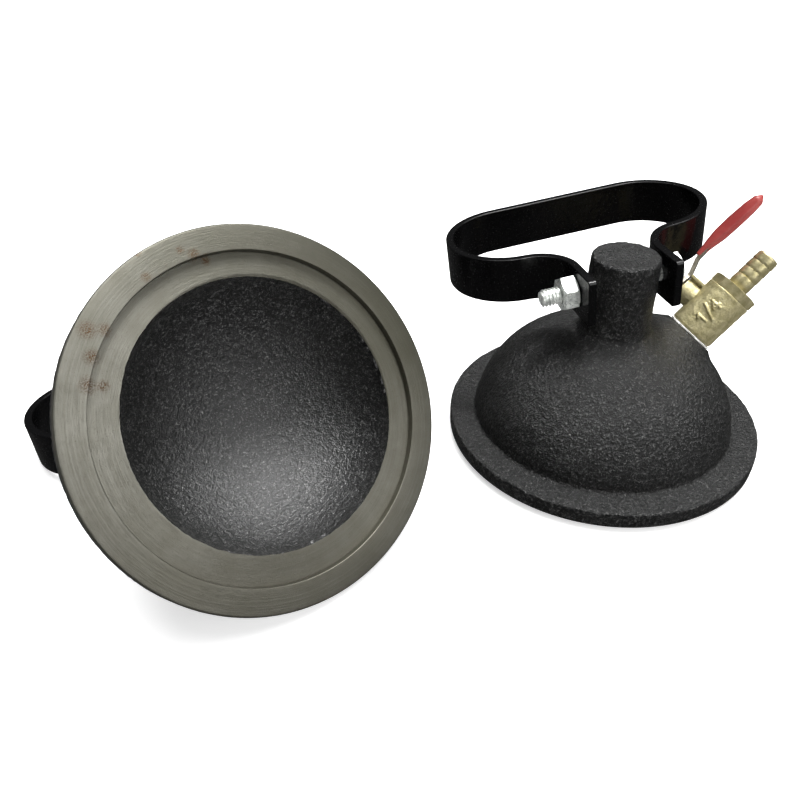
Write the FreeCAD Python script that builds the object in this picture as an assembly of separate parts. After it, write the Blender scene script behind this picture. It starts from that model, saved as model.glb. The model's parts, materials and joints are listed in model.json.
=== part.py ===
import FreeCAD, Part
import math
import os

# Magdeburg hemisphere pair, as a set of separate parts.  Millimetres and degrees, +Z up.
# Hemisphere B stands mouth down with its rest face on Z = 0; the centre of that face is the origin.
# Hemisphere A lies tipped over to the left of it on its rim and on the end of its boss.
# +X runs along the row of the two, from A to B, and +Y runs away from the open mouth of A.

# Hemisphere castings, in their own frame: flange face on height 0, boss pointing up.
FLANGE_R = 60.0
FLANGE_T = 6.5
FLANGE_ROUND = 0.8
DOME_R = 50.0
DOME_H = 42.7
DOME_SIDE_R = 39.0
DOME_BASE = 3.0
FOOT_FILLET = 1.5
SIDE_WALL = 6.5
SHOULDER_WALL = 4.7
CROWN_WALL = 5.4
RECESS_R = 51.6
RECESS_DEPTH = 2.6
SPIGOT_FIT = 0.3
SPIGOT_SHORT = 0.6
BOSS_R = 12.0
BOSS_DRAFT = 1.6
BOSS_ROUND = 1.5
BOSS_FILLET = 3.5
BOLT_RISE = 18.4
BOSS_OVER_BOLT = 9.9

CROWN_TOP = DOME_BASE + DOME_H
BOWL_R = DOME_R - SIDE_WALL
BOWL_SIDE_R = DOME_SIDE_R - SHOULDER_WALL
BOWL_TOP = CROWN_TOP - CROWN_WALL
SPIGOT_R = RECESS_R - SPIGOT_FIT
SPIGOT_H = RECESS_DEPTH - SPIGOT_SHORT
BOLT_H = CROWN_TOP + BOLT_RISE
BOSS_TOP = BOLT_H + BOSS_OVER_BOLT

# Handle, a flat bar bent to a closed-ended loop with two tabs beside the boss.
BAR_W = 17.5
BAR_T = 3.0
TAB_GAP = 2.3
TAB_END = -11.8
TAB_BEND = 3.4
TAB_CORNER = 1.2
NECK_R = 14.2
NECK_TURN = 84.6
NECK_RUN = 1.2
LOOP_R = 23.24

TAB_S = BOSS_R + TAB_GAP + BAR_T / 2

# Pivot bolt across the boss, 1/4 inch, and its nut.
BOLT_R = 3.175
BOLT_FIT = 0.08
TAB_FIT = 0.125
BOLT_PITCH = 1.27
THREAD_DEPTH = 0.6
THREAD_IN = 3.0
BOLT_REST = 7.2
HEX_AF = 11.1
HEAD_T = 4.0
NUT_T = 5.5
NUT_FIT = 0.03
SEAT_LIFT = 0.2
TIP_CHAMFER = 0.8

SEAT_S = TAB_S + BAR_T / 2 + SEAT_LIFT

# Ball valve, in its own frame: Z along the flow, height 0 on the outside of the dome, X along the stem.
TAPE_T = 0.6
SHANK_R = 6.0
SHANK_FROM = -7.4
SHANK_PITCH = 1.41
SHANK_THREAD = 0.7
TAPE_LIP_R = 8.6
TAPE_LIP_T = 1.0
BODY_FROM = 2.6
BODY_LONG = 18.6
BODY_R = 9.0
BODY_CHAMFER = 0.6
STEM_OUT = 9.5
PAD_R = 10.2
PAD_DEPTH = 8.6
PAD_FOOT_R = 24.0
WAY_R = 2.2
CHAMBER_R = 6.4
CHAMBER_HALF = 6.5
BALL_R = 5.5
SEAT_T = 1.6
SEAT_FIT = 0.1
SEAT_WAY_R = 2.9
BONNET_R = 4.5
BONNET_TOP = 14.2
STEM_R = 2.0
STEM_FIT = 0.05
STEM_REST = 1.3
SHOULDER_R = 3.0
SHOULDER_T = 1.2
WASHER_T = 0.8
PACKING_R = 3.2
PACKING_T = 2.4
PACKING_UNDER = 0.8
TANG_W = 1.6
TANG_LONG = 3.4
TANG_DEPTH = 1.9
FIN_OUT = 5.9
FIN_T = 1.2
FIN_W = 5.0
FIN_FROM = 6.0
FIN_OVER = 0.6
NUMERAL_H = 4.2
NUMERAL_STROKE = 0.7
NUMERAL_RAISE = 0.35
NUMERAL_GAP = 3.6
SLASH_H = 7.0
SLASH_LEAN = 22.0

PORT_R = SHANK_R + TAPE_T
PAD_TOP = BODY_FROM - TAPE_LIP_T
BODY_TO = BODY_FROM + BODY_LONG
STEM_LEVEL = BODY_FROM + STEM_OUT
SHOULDER_TO = CHAMBER_R + SHOULDER_T
WASHER_TO = SHOULDER_TO + WASHER_T
PACKING_TO = BONNET_TOP - PACKING_UNDER

# Hose barb screwed into the outer end of the valve body.
PLUG_FIT = 0.05
GASKET_T = 0.6
GASKET_R = 7.4
COLLAR_AF = 16.6
COLLAR_T = 3.4
BARB_NECK = 1.4
BARB_LONG = 13.8
BARB_ROOT_R = 3.8
BARB_CREST_R = 4.2
BARB_TIP_R = 3.8
BARB_COUNT = 4

PLUG_R = CHAMBER_R - PLUG_FIT
PLUG_FROM = STEM_LEVEL + CHAMBER_HALF

# Lever plate, its sleeve and its nut.  Stations run along the flow from the stem, outwards.
LEVER_T = 1.4
LEVER_GAP = 0.7
HUB_R = 5.0
NECK_W = 4.4
NECK_FROM = 5.1
GRIP_W = 5.0
GRIP_FROM = 12.5
GRIP_LIFT = 2.5
ARCH_OUT = 18.5
ARCH_LIFT = 2.6
GRIP_TO = 41.1
TIP_LIFT = 1.6
SLEEVE_W = 7.4
SLEEVE_ROUND = 1.3
SLEEVE_LAP = 0.1
SLEEVE_SHUT = 1.4
SLEEVE_ROOT_OVER = 1.8
SLEEVE_OVER = 2.3
SLEEVE_UNDER = 2.1
SLEEVE_TIP_UNDER = 1.8
LEVER_NUT_AF = 7.0
LEVER_NUT_T = 2.4

LEVER_SEAT = BONNET_TOP + LEVER_GAP + LEVER_T / 2
STEM_TOP = LEVER_SEAT + LEVER_T / 2 + LEVER_NUT_T + STEM_REST

# Where things stand.
FACE_A_X = -120.3
FACE_A_Y = -57.0
BOLT_A_AZ = 40.3
BOLT_B_AZ = 11.25
BOLT_B_TILT = 7.0
BOLT_B_SHIFT = -0.6
HANDLE_B_TILT = 1.2
VALVE_AZ = 11.25
VALVE_TILT = 41.4
VALVE_BASE_H = 0.8
STEM_TURN = 130.0

ORIGIN = FreeCAD.Vector(0, 0, 0)
ALONG_X = FreeCAD.Vector(1, 0, 0)
ALONG_Y = FreeCAD.Vector(0, 1, 0)
ALONG_Z = FreeCAD.Vector(0, 0, 1)
OVER = 1.0


def point(x, y, z):
    return FreeCAD.Vector(x, y, z)


def tan_deg(angle):
    return math.tan(math.radians(angle))


def turned(corners):
    """Solid of revolution about Z from (radius, height) corners."""
    wire = Part.makePolygon([point(r, 0, h) for r, h in corners + corners[:1]])
    return Part.Face(wire).revolve(ORIGIN, ALONG_Z, 360)


def tube(outer, inner, low, high):
    return turned([(inner, low), (outer, low), (outer, high), (inner, high)])


def rod(radius, low, high):
    return Part.makeCylinder(radius, high - low, point(0, 0, low))


def rod_x(radius, low, high, height=0):
    return Part.makeCylinder(radius, high - low, point(low, 0, height), ALONG_X)


def flattened_dome(radial, axial, side_r, base):
    """Solid dome standing on a height: a round shoulder running smoothly into a flatter crown."""
    crown_r = ((radial - side_r) ** 2 + axial ** 2 - side_r ** 2) / (2 * (axial - side_r))
    meet = math.atan2(crown_r - axial, radial - side_r)

    def shoulder(angle):
        return point(radial - side_r + side_r * math.cos(angle), 0, base + side_r * math.sin(angle))

    def crown(angle):
        drop = axial - crown_r
        return point(crown_r * math.cos(angle), 0, base + drop + crown_r * math.sin(angle))

    foot, top, centre = shoulder(0), point(0, 0, base + axial), point(0, 0, base)
    edges = [Part.Arc(foot, shoulder(meet / 2), shoulder(meet)).toShape(),
             Part.Arc(crown(meet), crown((meet + math.pi / 2) / 2), top).toShape(),
             Part.makeLine(top, centre),
             Part.makeLine(centre, foot)]
    return Part.Face(Part.Wire(edges)).revolve(ORIGIN, ALONG_Z, 360)


def dome_height(radius):
    """Height of the outer crown over a given distance from the axis."""
    crown_r = ((DOME_R - DOME_SIDE_R) ** 2 + DOME_H ** 2 - DOME_SIDE_R ** 2) / (2 * (DOME_H - DOME_SIDE_R))
    return CROWN_TOP - crown_r + math.sqrt(crown_r ** 2 - radius ** 2)


def dome_reach(start, way):
    """Distance from a point inside the dome to its outside, in a given direction."""
    line = Part.makeLine(start, start + way * FLANGE_R)
    inside = line.common(flattened_dome(DOME_R, DOME_H, DOME_SIDE_R, DOME_BASE))
    return max(corner.Point.distanceToPoint(start) for corner in inside.Vertexes)


def ring_edges(shape, radius, height, slack=0.3):
    """Circular edges about Z with a given radius and height."""
    found = []
    for edge in shape.Edges:
        box = edge.BoundBox
        if abs(box.XMax - radius) < slack and abs(box.ZMin - height) < slack and box.ZLength < slack:
            found.append(edge)
    return found


def hexagon(across_flats, low, high):
    """Hexagonal block along Z with its outer end chamfered at both faces."""
    corner = across_flats / math.sqrt(3)
    turns = [math.radians(60 * i) for i in range(7)]
    wire = Part.makePolygon([point(corner * math.cos(a), corner * math.sin(a), low) for a in turns])
    block = Part.Face(wire).extrude(point(0, 0, high - low))
    drop = (corner - across_flats / 2) * tan_deg(30)
    flat = across_flats / 2
    cap = turned([(0, low), (flat, low), (corner, low + drop),
                  (corner, high - drop), (flat, high), (0, high)])
    return block.common(cap)


def threaded_rod(radius, low, high, pitch, depth, chamfer):
    """Rod along Z with ring-shaped thread grooves and a chamfer at the low end."""
    corners = [(0, low), (radius - chamfer, low), (radius - depth, low + chamfer)]
    level = low + chamfer
    while level + pitch <= high:
        corners.append((radius, level + pitch / 2))
        corners.append((radius - depth, level + pitch))
        level += pitch
    corners += [(radius, high), (0, high)]
    return turned(corners)


# Hemispheres ---------------------------------------------------------------------------------

def boss_radius(height):
    return BOSS_R + (BOSS_TOP - height) * tan_deg(BOSS_DRAFT)


def casting():
    """Solid dome with flange and boss, edges rounded, before the bowl is hollowed."""
    flange = rod(FLANGE_R, 0, FLANGE_T)
    dome = flattened_dome(DOME_R, DOME_H, DOME_SIDE_R, DOME_BASE)
    boss = turned([(0, BOWL_TOP), (boss_radius(BOWL_TOP), BOWL_TOP), (BOSS_R, BOSS_TOP), (0, BOSS_TOP)])
    solid = flange.fuse([dome, boss]).removeSplitter()
    rise = FLANGE_T - DOME_BASE
    foot_r = DOME_R - DOME_SIDE_R + math.sqrt(DOME_SIDE_R ** 2 - rise ** 2)
    solid = solid.makeFillet(FOOT_FILLET, ring_edges(solid, foot_r, FLANGE_T))
    boss_r = boss_radius(CROWN_TOP)
    solid = solid.makeFillet(BOSS_FILLET, ring_edges(solid, boss_r, dome_height(boss_r)))
    solid = solid.makeFillet(BOSS_ROUND, ring_edges(solid, BOSS_R, BOSS_TOP))
    rims = ring_edges(solid, FLANGE_R, 0) + ring_edges(solid, FLANGE_R, FLANGE_T)
    return solid.makeFillet(FLANGE_ROUND, rims)


def bowl(low):
    well = flattened_dome(BOWL_R, BOWL_TOP - RECESS_DEPTH, BOWL_SIDE_R, RECESS_DEPTH)
    return well.fuse(rod(BOWL_R, low, RECESS_DEPTH)).removeSplitter()


def bolt_bore(placement):
    bore = rod_x(BOLT_R + BOLT_FIT, -FLANGE_R, FLANGE_R)
    bore.Placement = placement
    return bore


def recessed_hemisphere():
    """Hemisphere A: the joint face has a raised outer ring round a turned recess."""
    solid = casting().cut([bowl(-OVER), rod(RECESS_R, -OVER, RECESS_DEPTH)])
    return solid.cut(bolt_bore(BOLT_IN_A))


def port_pad():
    """Raised pad on the dome, square to the valve, that its body is screwed down on."""
    pad = turned([(0, -PAD_DEPTH), (PAD_FOOT_R, -PAD_DEPTH), (PAD_R, PAD_TOP), (0, PAD_TOP)])
    pad.Placement = VALVE_IN_B
    return pad


def spigot_hemisphere():
    """Hemisphere B: a raised spigot fits the recess of the other half; a port takes the valve."""
    spigot = rod(SPIGOT_R, -SPIGOT_H, OVER)
    solid = casting().fuse([spigot, port_pad()]).removeSplitter().cut(bowl(-SPIGOT_H - OVER))
    port = rod(PORT_R, SHANK_FROM - BODY_R, BODY_TO)
    port.Placement = VALVE_IN_B
    return solid.cut([bolt_bore(BOLT_IN_B), port])


# Handle with its bolt and nut, in the bolt's frame: X along the bolt, Y towards the loop ------

def loop_side(offset):
    """Edges of one face of the bar, from the tab end on +X to the middle of the loop."""
    turn = math.radians(NECK_TURN)
    neck = point(TAB_S + NECK_R, TAB_BEND, 0)
    heading = math.radians(180 - NECK_TURN)
    across = point(math.cos(heading), math.sin(heading), 0)
    run = point(math.sin(heading), -math.cos(heading), 0) * NECK_RUN
    loop = neck + run + across * (NECK_R + LOOP_R)
    inner, outer = NECK_R + offset, LOOP_R - offset
    start = point(TAB_S - offset, TAB_END, 0)
    bend = point(TAB_S - offset, TAB_BEND, 0)
    half = math.pi - turn / 2
    mid_neck = neck + point(math.cos(half), math.sin(half), 0) * inner
    end_neck = neck + across * inner
    side = (heading - math.pi / 2) / 2
    mid_loop = loop + point(math.cos(side), math.sin(side), 0) * outer
    top = loop + point(0, outer, 0)
    return [Part.makeLine(start, bend),
            Part.Arc(bend, mid_neck, end_neck).toShape(),
            Part.makeLine(end_neck, end_neck + run),
            Part.Arc(end_neck + run, mid_loop, top).toShape(),
            Part.makeLine(top, point(0, top.y, 0))]


def half_bar():
    """One half of the bar, from a tab end to the middle of the loop."""
    inside = loop_side(BAR_T / 2)
    outside = loop_side(-BAR_T / 2)
    tab_end = Part.makeLine(inside[0].Vertexes[0].Point, outside[0].Vertexes[0].Point)
    middle = Part.makeLine(inside[-1].Vertexes[-1].Point, outside[-1].Vertexes[-1].Point)
    face = Part.Face(Part.Wire(Part.__sortEdges__(inside + outside + [tab_end, middle])))
    return face.extrude(point(0, 0, BAR_W))


def tab_corner_edges(shape):
    """The short edges across the thickness at the tab ends."""
    found = []
    for edge in shape.Edges:
        box = edge.BoundBox
        if box.YMax < TAB_END + BAR_T / 2 and box.YLength < BAR_T / 2 and box.ZLength < BAR_T / 2:
            found.append(edge)
    return found


def handle():
    right = half_bar().translated(point(0, 0, -BAR_W / 2))
    left = right.mirror(ORIGIN, ALONG_X)
    bar = right.fuse(left).removeSplitter()
    bar = bar.makeFillet(TAB_CORNER, tab_corner_edges(bar))
    return bar.cut(rod_x(BOLT_R + TAB_FIT, -FLANGE_R, FLANGE_R))


def lay_along_x(shape):
    """Turn a part made along Z so that it lies along X."""
    return shape.rotated(ORIGIN, ALONG_Y, 90)


def pivot_bolt():
    thread_end = THREAD_IN - SEAT_S
    tip = -(SEAT_S + NUT_T + BOLT_REST)
    shank = rod(BOLT_R, thread_end, SEAT_S)
    thread = threaded_rod(BOLT_R, tip, thread_end, BOLT_PITCH, THREAD_DEPTH, TIP_CHAMFER)
    head = hexagon(HEX_AF, SEAT_S, SEAT_S + HEAD_T)
    return lay_along_x(head.fuse([shank, thread]))


def pivot_nut():
    outer = -SEAT_S - NUT_T
    nut = hexagon(HEX_AF, outer, -SEAT_S)
    return lay_along_x(nut.cut(rod(BOLT_R + NUT_FIT, outer - OVER, OVER - SEAT_S)))


# Ball valve ------------------------------------------------------------------------------------

def at_stem(shape):
    """Move a part made about X into the line of the stem."""
    return shape.translated(point(0, 0, STEM_LEVEL))


def block(x_low, x_high, wide, low, high):
    """Box beside the stem, from one station along the flow to another, centred across it."""
    box = Part.makeBox(x_high - x_low, wide, high - low, point(x_low, -wide / 2, low))
    return at_stem(box)


def numeral_stroke(along, up, wide, tall, lean=0.0):
    """One stroke of a figure, as a block that stands out through the side of the body."""
    stroke = Part.makeBox(tall, BODY_R + OVER, wide, point(up, 0, along - wide / 2))
    return at_stem(stroke.rotated(point(up + tall / 2, 0, along), ALONG_Y, lean))


def raised_numerals():
    """The size figures 1 / 4, read along the flow, raised evenly off the round side of the body."""
    high, pen, gap = NUMERAL_H, NUMERAL_STROKE, NUMERAL_GAP
    foot, bar = -high / 2, -high / 6
    strokes = [numeral_stroke(-gap, foot, pen, high),
               numeral_stroke(0, -SLASH_H / 2, pen, SLASH_H, -SLASH_LEAN),
               numeral_stroke(gap, foot, pen, high),
               numeral_stroke(gap - pen / 2, bar, 3 * pen, pen),
               numeral_stroke(gap - 1.5 * pen, bar, pen, high / 2 - bar)]
    skin = tube(BODY_R + NUMERAL_RAISE, BODY_R - NUMERAL_RAISE, BODY_FROM + OVER, BODY_TO - OVER)
    return strokes[0].fuse(strokes[1:]).common(skin)


def valve_body():
    shank = threaded_rod(SHANK_R, SHANK_FROM, BODY_FROM, SHANK_PITCH, SHANK_THREAD, SHANK_THREAD)
    low, high = BODY_FROM, BODY_TO
    barrel = turned([(0, low), (BODY_R - BODY_CHAMFER, low), (BODY_R, low + BODY_CHAMFER),
                     (BODY_R, high), (0, high)])
    bonnet = at_stem(rod_x(BONNET_R, 0, BONNET_TOP))
    fin = block(FIN_FROM, BONNET_TOP + FIN_OVER, FIN_W, FIN_OUT, FIN_OUT + FIN_T)
    solid = barrel.fuse([shank, bonnet, fin, raised_numerals()])
    chamber = rod(CHAMBER_R, STEM_LEVEL - CHAMBER_HALF, BODY_TO + OVER)
    way = rod(WAY_R, SHANK_FROM - OVER, BODY_TO)
    stem_hole = at_stem(rod_x(STEM_R + STEM_FIT, 0, BONNET_TOP + OVER))
    shoulder_room = at_stem(rod_x(SHOULDER_R + STEM_FIT, 0, WASHER_TO))
    packing_room = at_stem(rod_x(PACKING_R, PACKING_TO - PACKING_T, BONNET_TOP + OVER))
    return solid.cut([chamber, way, stem_hole, shoulder_room, packing_room])


def thread_tape():
    """White tape round the shank, squeezed out into a lip under the body."""
    inside, level = SHANK_R + STEM_FIT, SHANK_FROM + OVER
    lip_high = BODY_FROM - STEM_FIT
    return turned([(inside, level), (PORT_R, level), (PORT_R, PAD_TOP),
                   (TAPE_LIP_R, PAD_TOP), (TAPE_LIP_R, lip_high), (inside, lip_high)])


def ball():
    sphere = Part.makeSphere(BALL_R)
    half_slot = TANG_W / 2 + STEM_FIT
    slot = Part.makeBox(BALL_R, 2 * BALL_R, 2 * half_slot,
                        point(BALL_R - TANG_DEPTH - STEM_FIT, -BALL_R, -half_slot))
    way = rod(WAY_R, -BALL_R - OVER, BALL_R + OVER)
    return at_stem(sphere.cut([slot, way]))


def seat_ring(low):
    """Ring with a dished side that holds the ball."""
    ring = tube(CHAMBER_R - SEAT_FIT, SEAT_WAY_R, low, low + SEAT_T)
    return at_stem(ring.cut(Part.makeSphere(BALL_R + STEM_FIT)))


def seat_rings():
    reach = CHAMBER_HALF - STEM_FIT
    return Part.makeCompound([seat_ring(low) for low in (-reach, reach - SEAT_T)])


def stem():
    post = at_stem(rod_x(STEM_R, CHAMBER_R, STEM_TOP))
    shoulder = at_stem(rod_x(SHOULDER_R, CHAMBER_R, SHOULDER_TO))
    tang = block(BALL_R - TANG_DEPTH, CHAMBER_R + OVER, TANG_LONG, -TANG_W / 2, TANG_W / 2)
    return post.fuse([shoulder, tang]).removeSplitter()


def stem_ring(outer, low, high):
    ring = rod_x(outer, low, high).cut(rod_x(STEM_R + STEM_FIT, low - OVER, high + OVER))
    return at_stem(ring)


def hose_barb():
    """Hexagon collar with a threaded plug below it and a ribbed tail above."""
    collar_low = BODY_TO + GASKET_T
    collar_top = collar_low + COLLAR_T
    collar = hexagon(COLLAR_AF, collar_low, collar_top)
    plug = rod(PLUG_R, PLUG_FROM, collar_low)
    first = collar_top + BARB_NECK
    tip = first + BARB_LONG
    step = BARB_LONG / BARB_COUNT
    tail = [(0, collar_top - OVER), (BARB_CREST_R, collar_top - OVER)]
    for i in range(BARB_COUNT):
        low = first + i * step
        tail += [(BARB_CREST_R, low), (BARB_CREST_R, low + step / 4), (BARB_ROOT_R, low + step)]
    tail[-1] = (BARB_TIP_R, tip)
    tail.append((0, tip))
    return collar.fuse([plug, turned(tail)]).cut(rod(WAY_R, PLUG_FROM - OVER, tip + OVER))


def end_gasket():
    return tube(GASKET_R, PLUG_R, BODY_TO, BODY_TO + GASKET_T)


# Lever -------------------------------------------------------------------------------------------

def side_profile(corners, wide):
    """Plate or block from (station, height) corners, centred across the valve."""
    wire = Part.makePolygon([point(h, -wide / 2, along) for along, h in corners + corners[:1]])
    return at_stem(Part.Face(wire).extrude(point(0, wide, 0)))


def lever_line():
    """Middle of the lever plate: flat under the nut, a step up, then a shallow arch to the tip."""
    return [(-HUB_R, LEVER_SEAT), (NECK_FROM, LEVER_SEAT), (GRIP_FROM, LEVER_SEAT + GRIP_LIFT),
            (ARCH_OUT, LEVER_SEAT + ARCH_LIFT), (GRIP_TO, LEVER_SEAT + TIP_LIFT)]


def lever():
    upper = [(along, h + LEVER_T / 2) for along, h in lever_line()]
    lower = [(along, h - LEVER_T / 2) for along, h in lever_line()]
    strip = side_profile(lower + upper[::-1], 2 * HUB_R)
    hub = at_stem(rod_x(HUB_R, 0, STEM_TOP))
    neck = block(0, STEM_TOP, NECK_W, 0, GRIP_FROM)
    grip = block(0, STEM_TOP, GRIP_W, GRIP_FROM, GRIP_TO + OVER)
    plan = hub.fuse([neck, grip])
    hole = at_stem(rod_x(STEM_R + STEM_FIT, 0, STEM_TOP + OVER))
    return strip.common(plan).cut(hole)


def lever_sleeve():
    """Soft sleeve over the grip, rounded all round, shut at the tip."""
    low, high = GRIP_FROM - SLEEVE_LAP, GRIP_TO + SLEEVE_SHUT
    root, arch, tip = LEVER_SEAT + GRIP_LIFT, LEVER_SEAT + ARCH_LIFT, LEVER_SEAT + TIP_LIFT
    outer = side_profile([(low, root - SLEEVE_UNDER), (ARCH_OUT, arch - SLEEVE_UNDER),
                          (high, tip - SLEEVE_TIP_UNDER), (high, tip + SLEEVE_OVER),
                          (ARCH_OUT, arch + SLEEVE_OVER), (low, root + SLEEVE_ROOT_OVER)], SLEEVE_W)
    outer = outer.makeFillet(SLEEVE_ROUND, outer.Edges)
    return outer.cut(lever())


def lever_nut():
    seat = LEVER_SEAT + LEVER_T / 2
    nut = hexagon(LEVER_NUT_AF, seat, seat + LEVER_NUT_T)
    nut = nut.cut(rod(STEM_R + STEM_FIT, seat - OVER, seat + LEVER_NUT_T + OVER))
    return at_stem(lay_along_x(nut))


# Poses -------------------------------------------------------------------------------------------

def turn(axis, angle):
    return FreeCAD.Placement(ORIGIN, FreeCAD.Rotation(axis, angle))


def shift(x, y, z):
    return FreeCAD.Placement(point(x, y, z), FreeCAD.Rotation())


def lean_of_a():
    """Angle of A's axis below level when its rounded rim and rounded boss end both touch the floor."""
    rise = FLANGE_R - BOSS_R - FLANGE_ROUND + BOSS_ROUND
    run = BOSS_TOP - FLANGE_T - BOSS_ROUND + FLANGE_ROUND
    return math.acos((BOSS_ROUND - FLANGE_ROUND) / math.hypot(rise, run)) - math.atan2(run, rise)


def place_a():
    """A's frame in the world: its boss points back, left and down."""
    lean = lean_of_a()
    height = ((FLANGE_R - FLANGE_ROUND) * math.cos(lean)
              + (FLANGE_T - FLANGE_ROUND) * math.sin(lean) + FLANGE_ROUND)
    tip = 90 + math.degrees(lean)
    return (shift(FACE_A_X, FACE_A_Y, height)
            * turn(ALONG_Z, BOLT_A_AZ) * turn(ALONG_X, -tip))


def handle_a_swing(place):
    """Turn of A's handle about its bolt that lays the loop on the floor."""
    height = (place * BOLT_IN_A).Base.z
    reach = loop_reach() + BAR_T / 2
    drop = math.asin(height / math.hypot(reach, BAR_W / 2)) - math.atan2(BAR_W / 2, reach)
    return 90 + math.degrees(lean_of_a() - drop)


def loop_reach():
    heading = math.radians(180 - NECK_TURN)
    run = -NECK_RUN * math.cos(heading)
    return TAB_BEND + (NECK_R + LOOP_R) * math.sin(heading) + run + LOOP_R


def valve_place():
    """The valve's frame in hemisphere B: the flow leaves the dome at height 0."""
    aim = shift(0, 0, VALVE_BASE_H) * turn(ALONG_Z, VALVE_AZ) * turn(ALONG_Y, VALVE_TILT)
    reach = dome_reach(aim.Base, aim.Rotation.multVec(ALONG_Z))
    return aim * shift(0, 0, reach) * turn(ALONG_Z, STEM_TURN)


BOLT_IN_A = shift(0, 0, BOLT_H)
BOLT_IN_B = shift(0, 0, BOLT_H) * turn(ALONG_Z, BOLT_B_AZ) * turn(ALONG_Y, -BOLT_B_TILT)
VALVE_IN_B = valve_place()


def ball_valve():
    """Parts of the valve in the valve's own frame."""
    return {
        "thread_tape": thread_tape(),
        "valve_body": valve_body(),
        "ball": ball(),
        "seat_rings": seat_rings(),
        "stem": stem(),
        "thrust_washer": stem_ring(SHOULDER_R, SHOULDER_TO + STEM_FIT, WASHER_TO),
        "stem_packing": stem_ring(PACKING_R, PACKING_TO - PACKING_T, PACKING_TO),
        "end_gasket": end_gasket(),
        "hose_barb": hose_barb(),
        "lever": lever(),
        "lever_sleeve": lever_sleeve(),
        "lever_nut": lever_nut(),
    }


def handle_set(letter):
    """One handle with its bolt and nut, in the bolt's frame."""
    return {
        "handle_" + letter: handle(),
        "pivot_bolt_" + letter: pivot_bolt(),
        "pivot_nut_" + letter: pivot_nut(),
    }


def placed(parts, placement):
    return {name: shape.transformed(placement.toMatrix(), True) for name, shape in parts.items()}


def hemisphere_pair():
    """Every part of the pair where it stands."""
    place = place_a()
    place_b = shift(0, 0, SPIGOT_H)
    handle_a_place = place * BOLT_IN_A * turn(ALONG_X, handle_a_swing(place))
    handle_b_place = place_b * BOLT_IN_B * shift(BOLT_B_SHIFT, 0, 0) * turn(ALONG_X, -HANDLE_B_TILT)
    parts = {}
    parts.update(placed({"hemisphere_a": recessed_hemisphere()}, place))
    parts.update(placed({"hemisphere_b": spigot_hemisphere()}, place_b))
    parts.update(placed(handle_set("a"), handle_a_place))
    parts.update(placed(handle_set("b"), handle_b_place))
    parts.update(placed(ball_valve(), place_b * VALVE_IN_B))
    return parts


os.makedirs("parts", exist_ok=True)
for name, shape in hemisphere_pair().items():
    shape.exportStep("parts/" + name + ".step")
    print(name, len(shape.Solids), "solid", round(shape.Volume), "mm3", shape.isValid())
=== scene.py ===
# %% [markdown]
# Magdeburg hemispheres
# Two iron cups with flat flanges, which air pressure holds together once the air between them
# is pumped out. The measured solids come in first as a fixed frame, and every piece made here
# is built around them, in metres, in the same space.

# %% Load the frame
import bpy
import bmesh
import json
import math
from mathutils import Matrix, Vector, noise


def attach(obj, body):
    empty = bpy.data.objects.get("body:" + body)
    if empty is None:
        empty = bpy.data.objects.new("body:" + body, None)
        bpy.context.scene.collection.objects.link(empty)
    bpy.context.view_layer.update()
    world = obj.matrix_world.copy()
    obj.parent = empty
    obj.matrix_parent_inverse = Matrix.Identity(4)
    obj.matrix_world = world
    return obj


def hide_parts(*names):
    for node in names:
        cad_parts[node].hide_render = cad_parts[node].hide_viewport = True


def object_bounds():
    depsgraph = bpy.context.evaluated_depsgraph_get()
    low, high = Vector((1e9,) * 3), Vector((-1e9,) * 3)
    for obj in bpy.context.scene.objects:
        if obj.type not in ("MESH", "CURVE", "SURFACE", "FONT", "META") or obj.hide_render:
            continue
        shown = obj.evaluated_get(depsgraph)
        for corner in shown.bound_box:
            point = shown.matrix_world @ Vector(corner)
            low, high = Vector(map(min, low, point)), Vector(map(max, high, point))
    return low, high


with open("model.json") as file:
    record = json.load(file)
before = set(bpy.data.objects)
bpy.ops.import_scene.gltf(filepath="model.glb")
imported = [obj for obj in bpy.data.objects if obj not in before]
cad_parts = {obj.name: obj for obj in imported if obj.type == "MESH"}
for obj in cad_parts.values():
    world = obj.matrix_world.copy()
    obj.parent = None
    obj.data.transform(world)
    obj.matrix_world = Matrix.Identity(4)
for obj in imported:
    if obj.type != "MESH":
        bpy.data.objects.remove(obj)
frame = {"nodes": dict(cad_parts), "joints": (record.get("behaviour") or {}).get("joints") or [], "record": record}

MM = 0.001
CAD_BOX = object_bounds()
JOINTS = {joint["name"]: joint for joint in frame["joints"]}

# %% [markdown]
# The camera
# A still life like this is shot from a little above at arm's length. The lens and the tilt set
# how strongly the flanges turn into ellipses, so they are fixed before any finish is judged.

# %% Place the camera
CAMERA_AT = Vector((-80.5, -229.5, 184.1)) * MM
LENS, SENSOR_W = 32.0, 36.0
PITCH, ROLL = 36.4, -1.2
NEAREST = 0.01

camera_data = bpy.data.cameras.new("camera")
camera_data.lens = LENS
camera_data.sensor_width = SENSOR_W
camera_data.clip_start = NEAREST
camera = bpy.data.objects.new("camera", camera_data)
tilt = Matrix.Rotation(math.radians(90 - PITCH), 4, "X")
camera.matrix_world = Matrix.Translation(CAMERA_AT) @ (tilt @ Matrix.Rotation(math.radians(ROLL), 4, "Z"))
bpy.context.scene.collection.objects.link(camera)
bpy.context.scene.camera = camera
bpy.context.scene.view_settings.view_transform = "Standard"
print("camera at", [round(v, 4) for v in CAMERA_AT])

# %% [markdown]
# Floor and light
# Black iron on a white sweep needs a lot of light, or the castings go flat. The sweep glows a
# little from below, as a light table does, and a broad light from high above makes it just white.
# A harder light from the same place draws the grain of the paint, and one soft panel stands to
# the right. The sweep is left out of mirror reflections, as black flags beside the table would
# do, so the enamel stays black. The room itself is dim, and is white only where the camera sees
# it behind the sweep. The plain standard view keeps white white.

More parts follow.
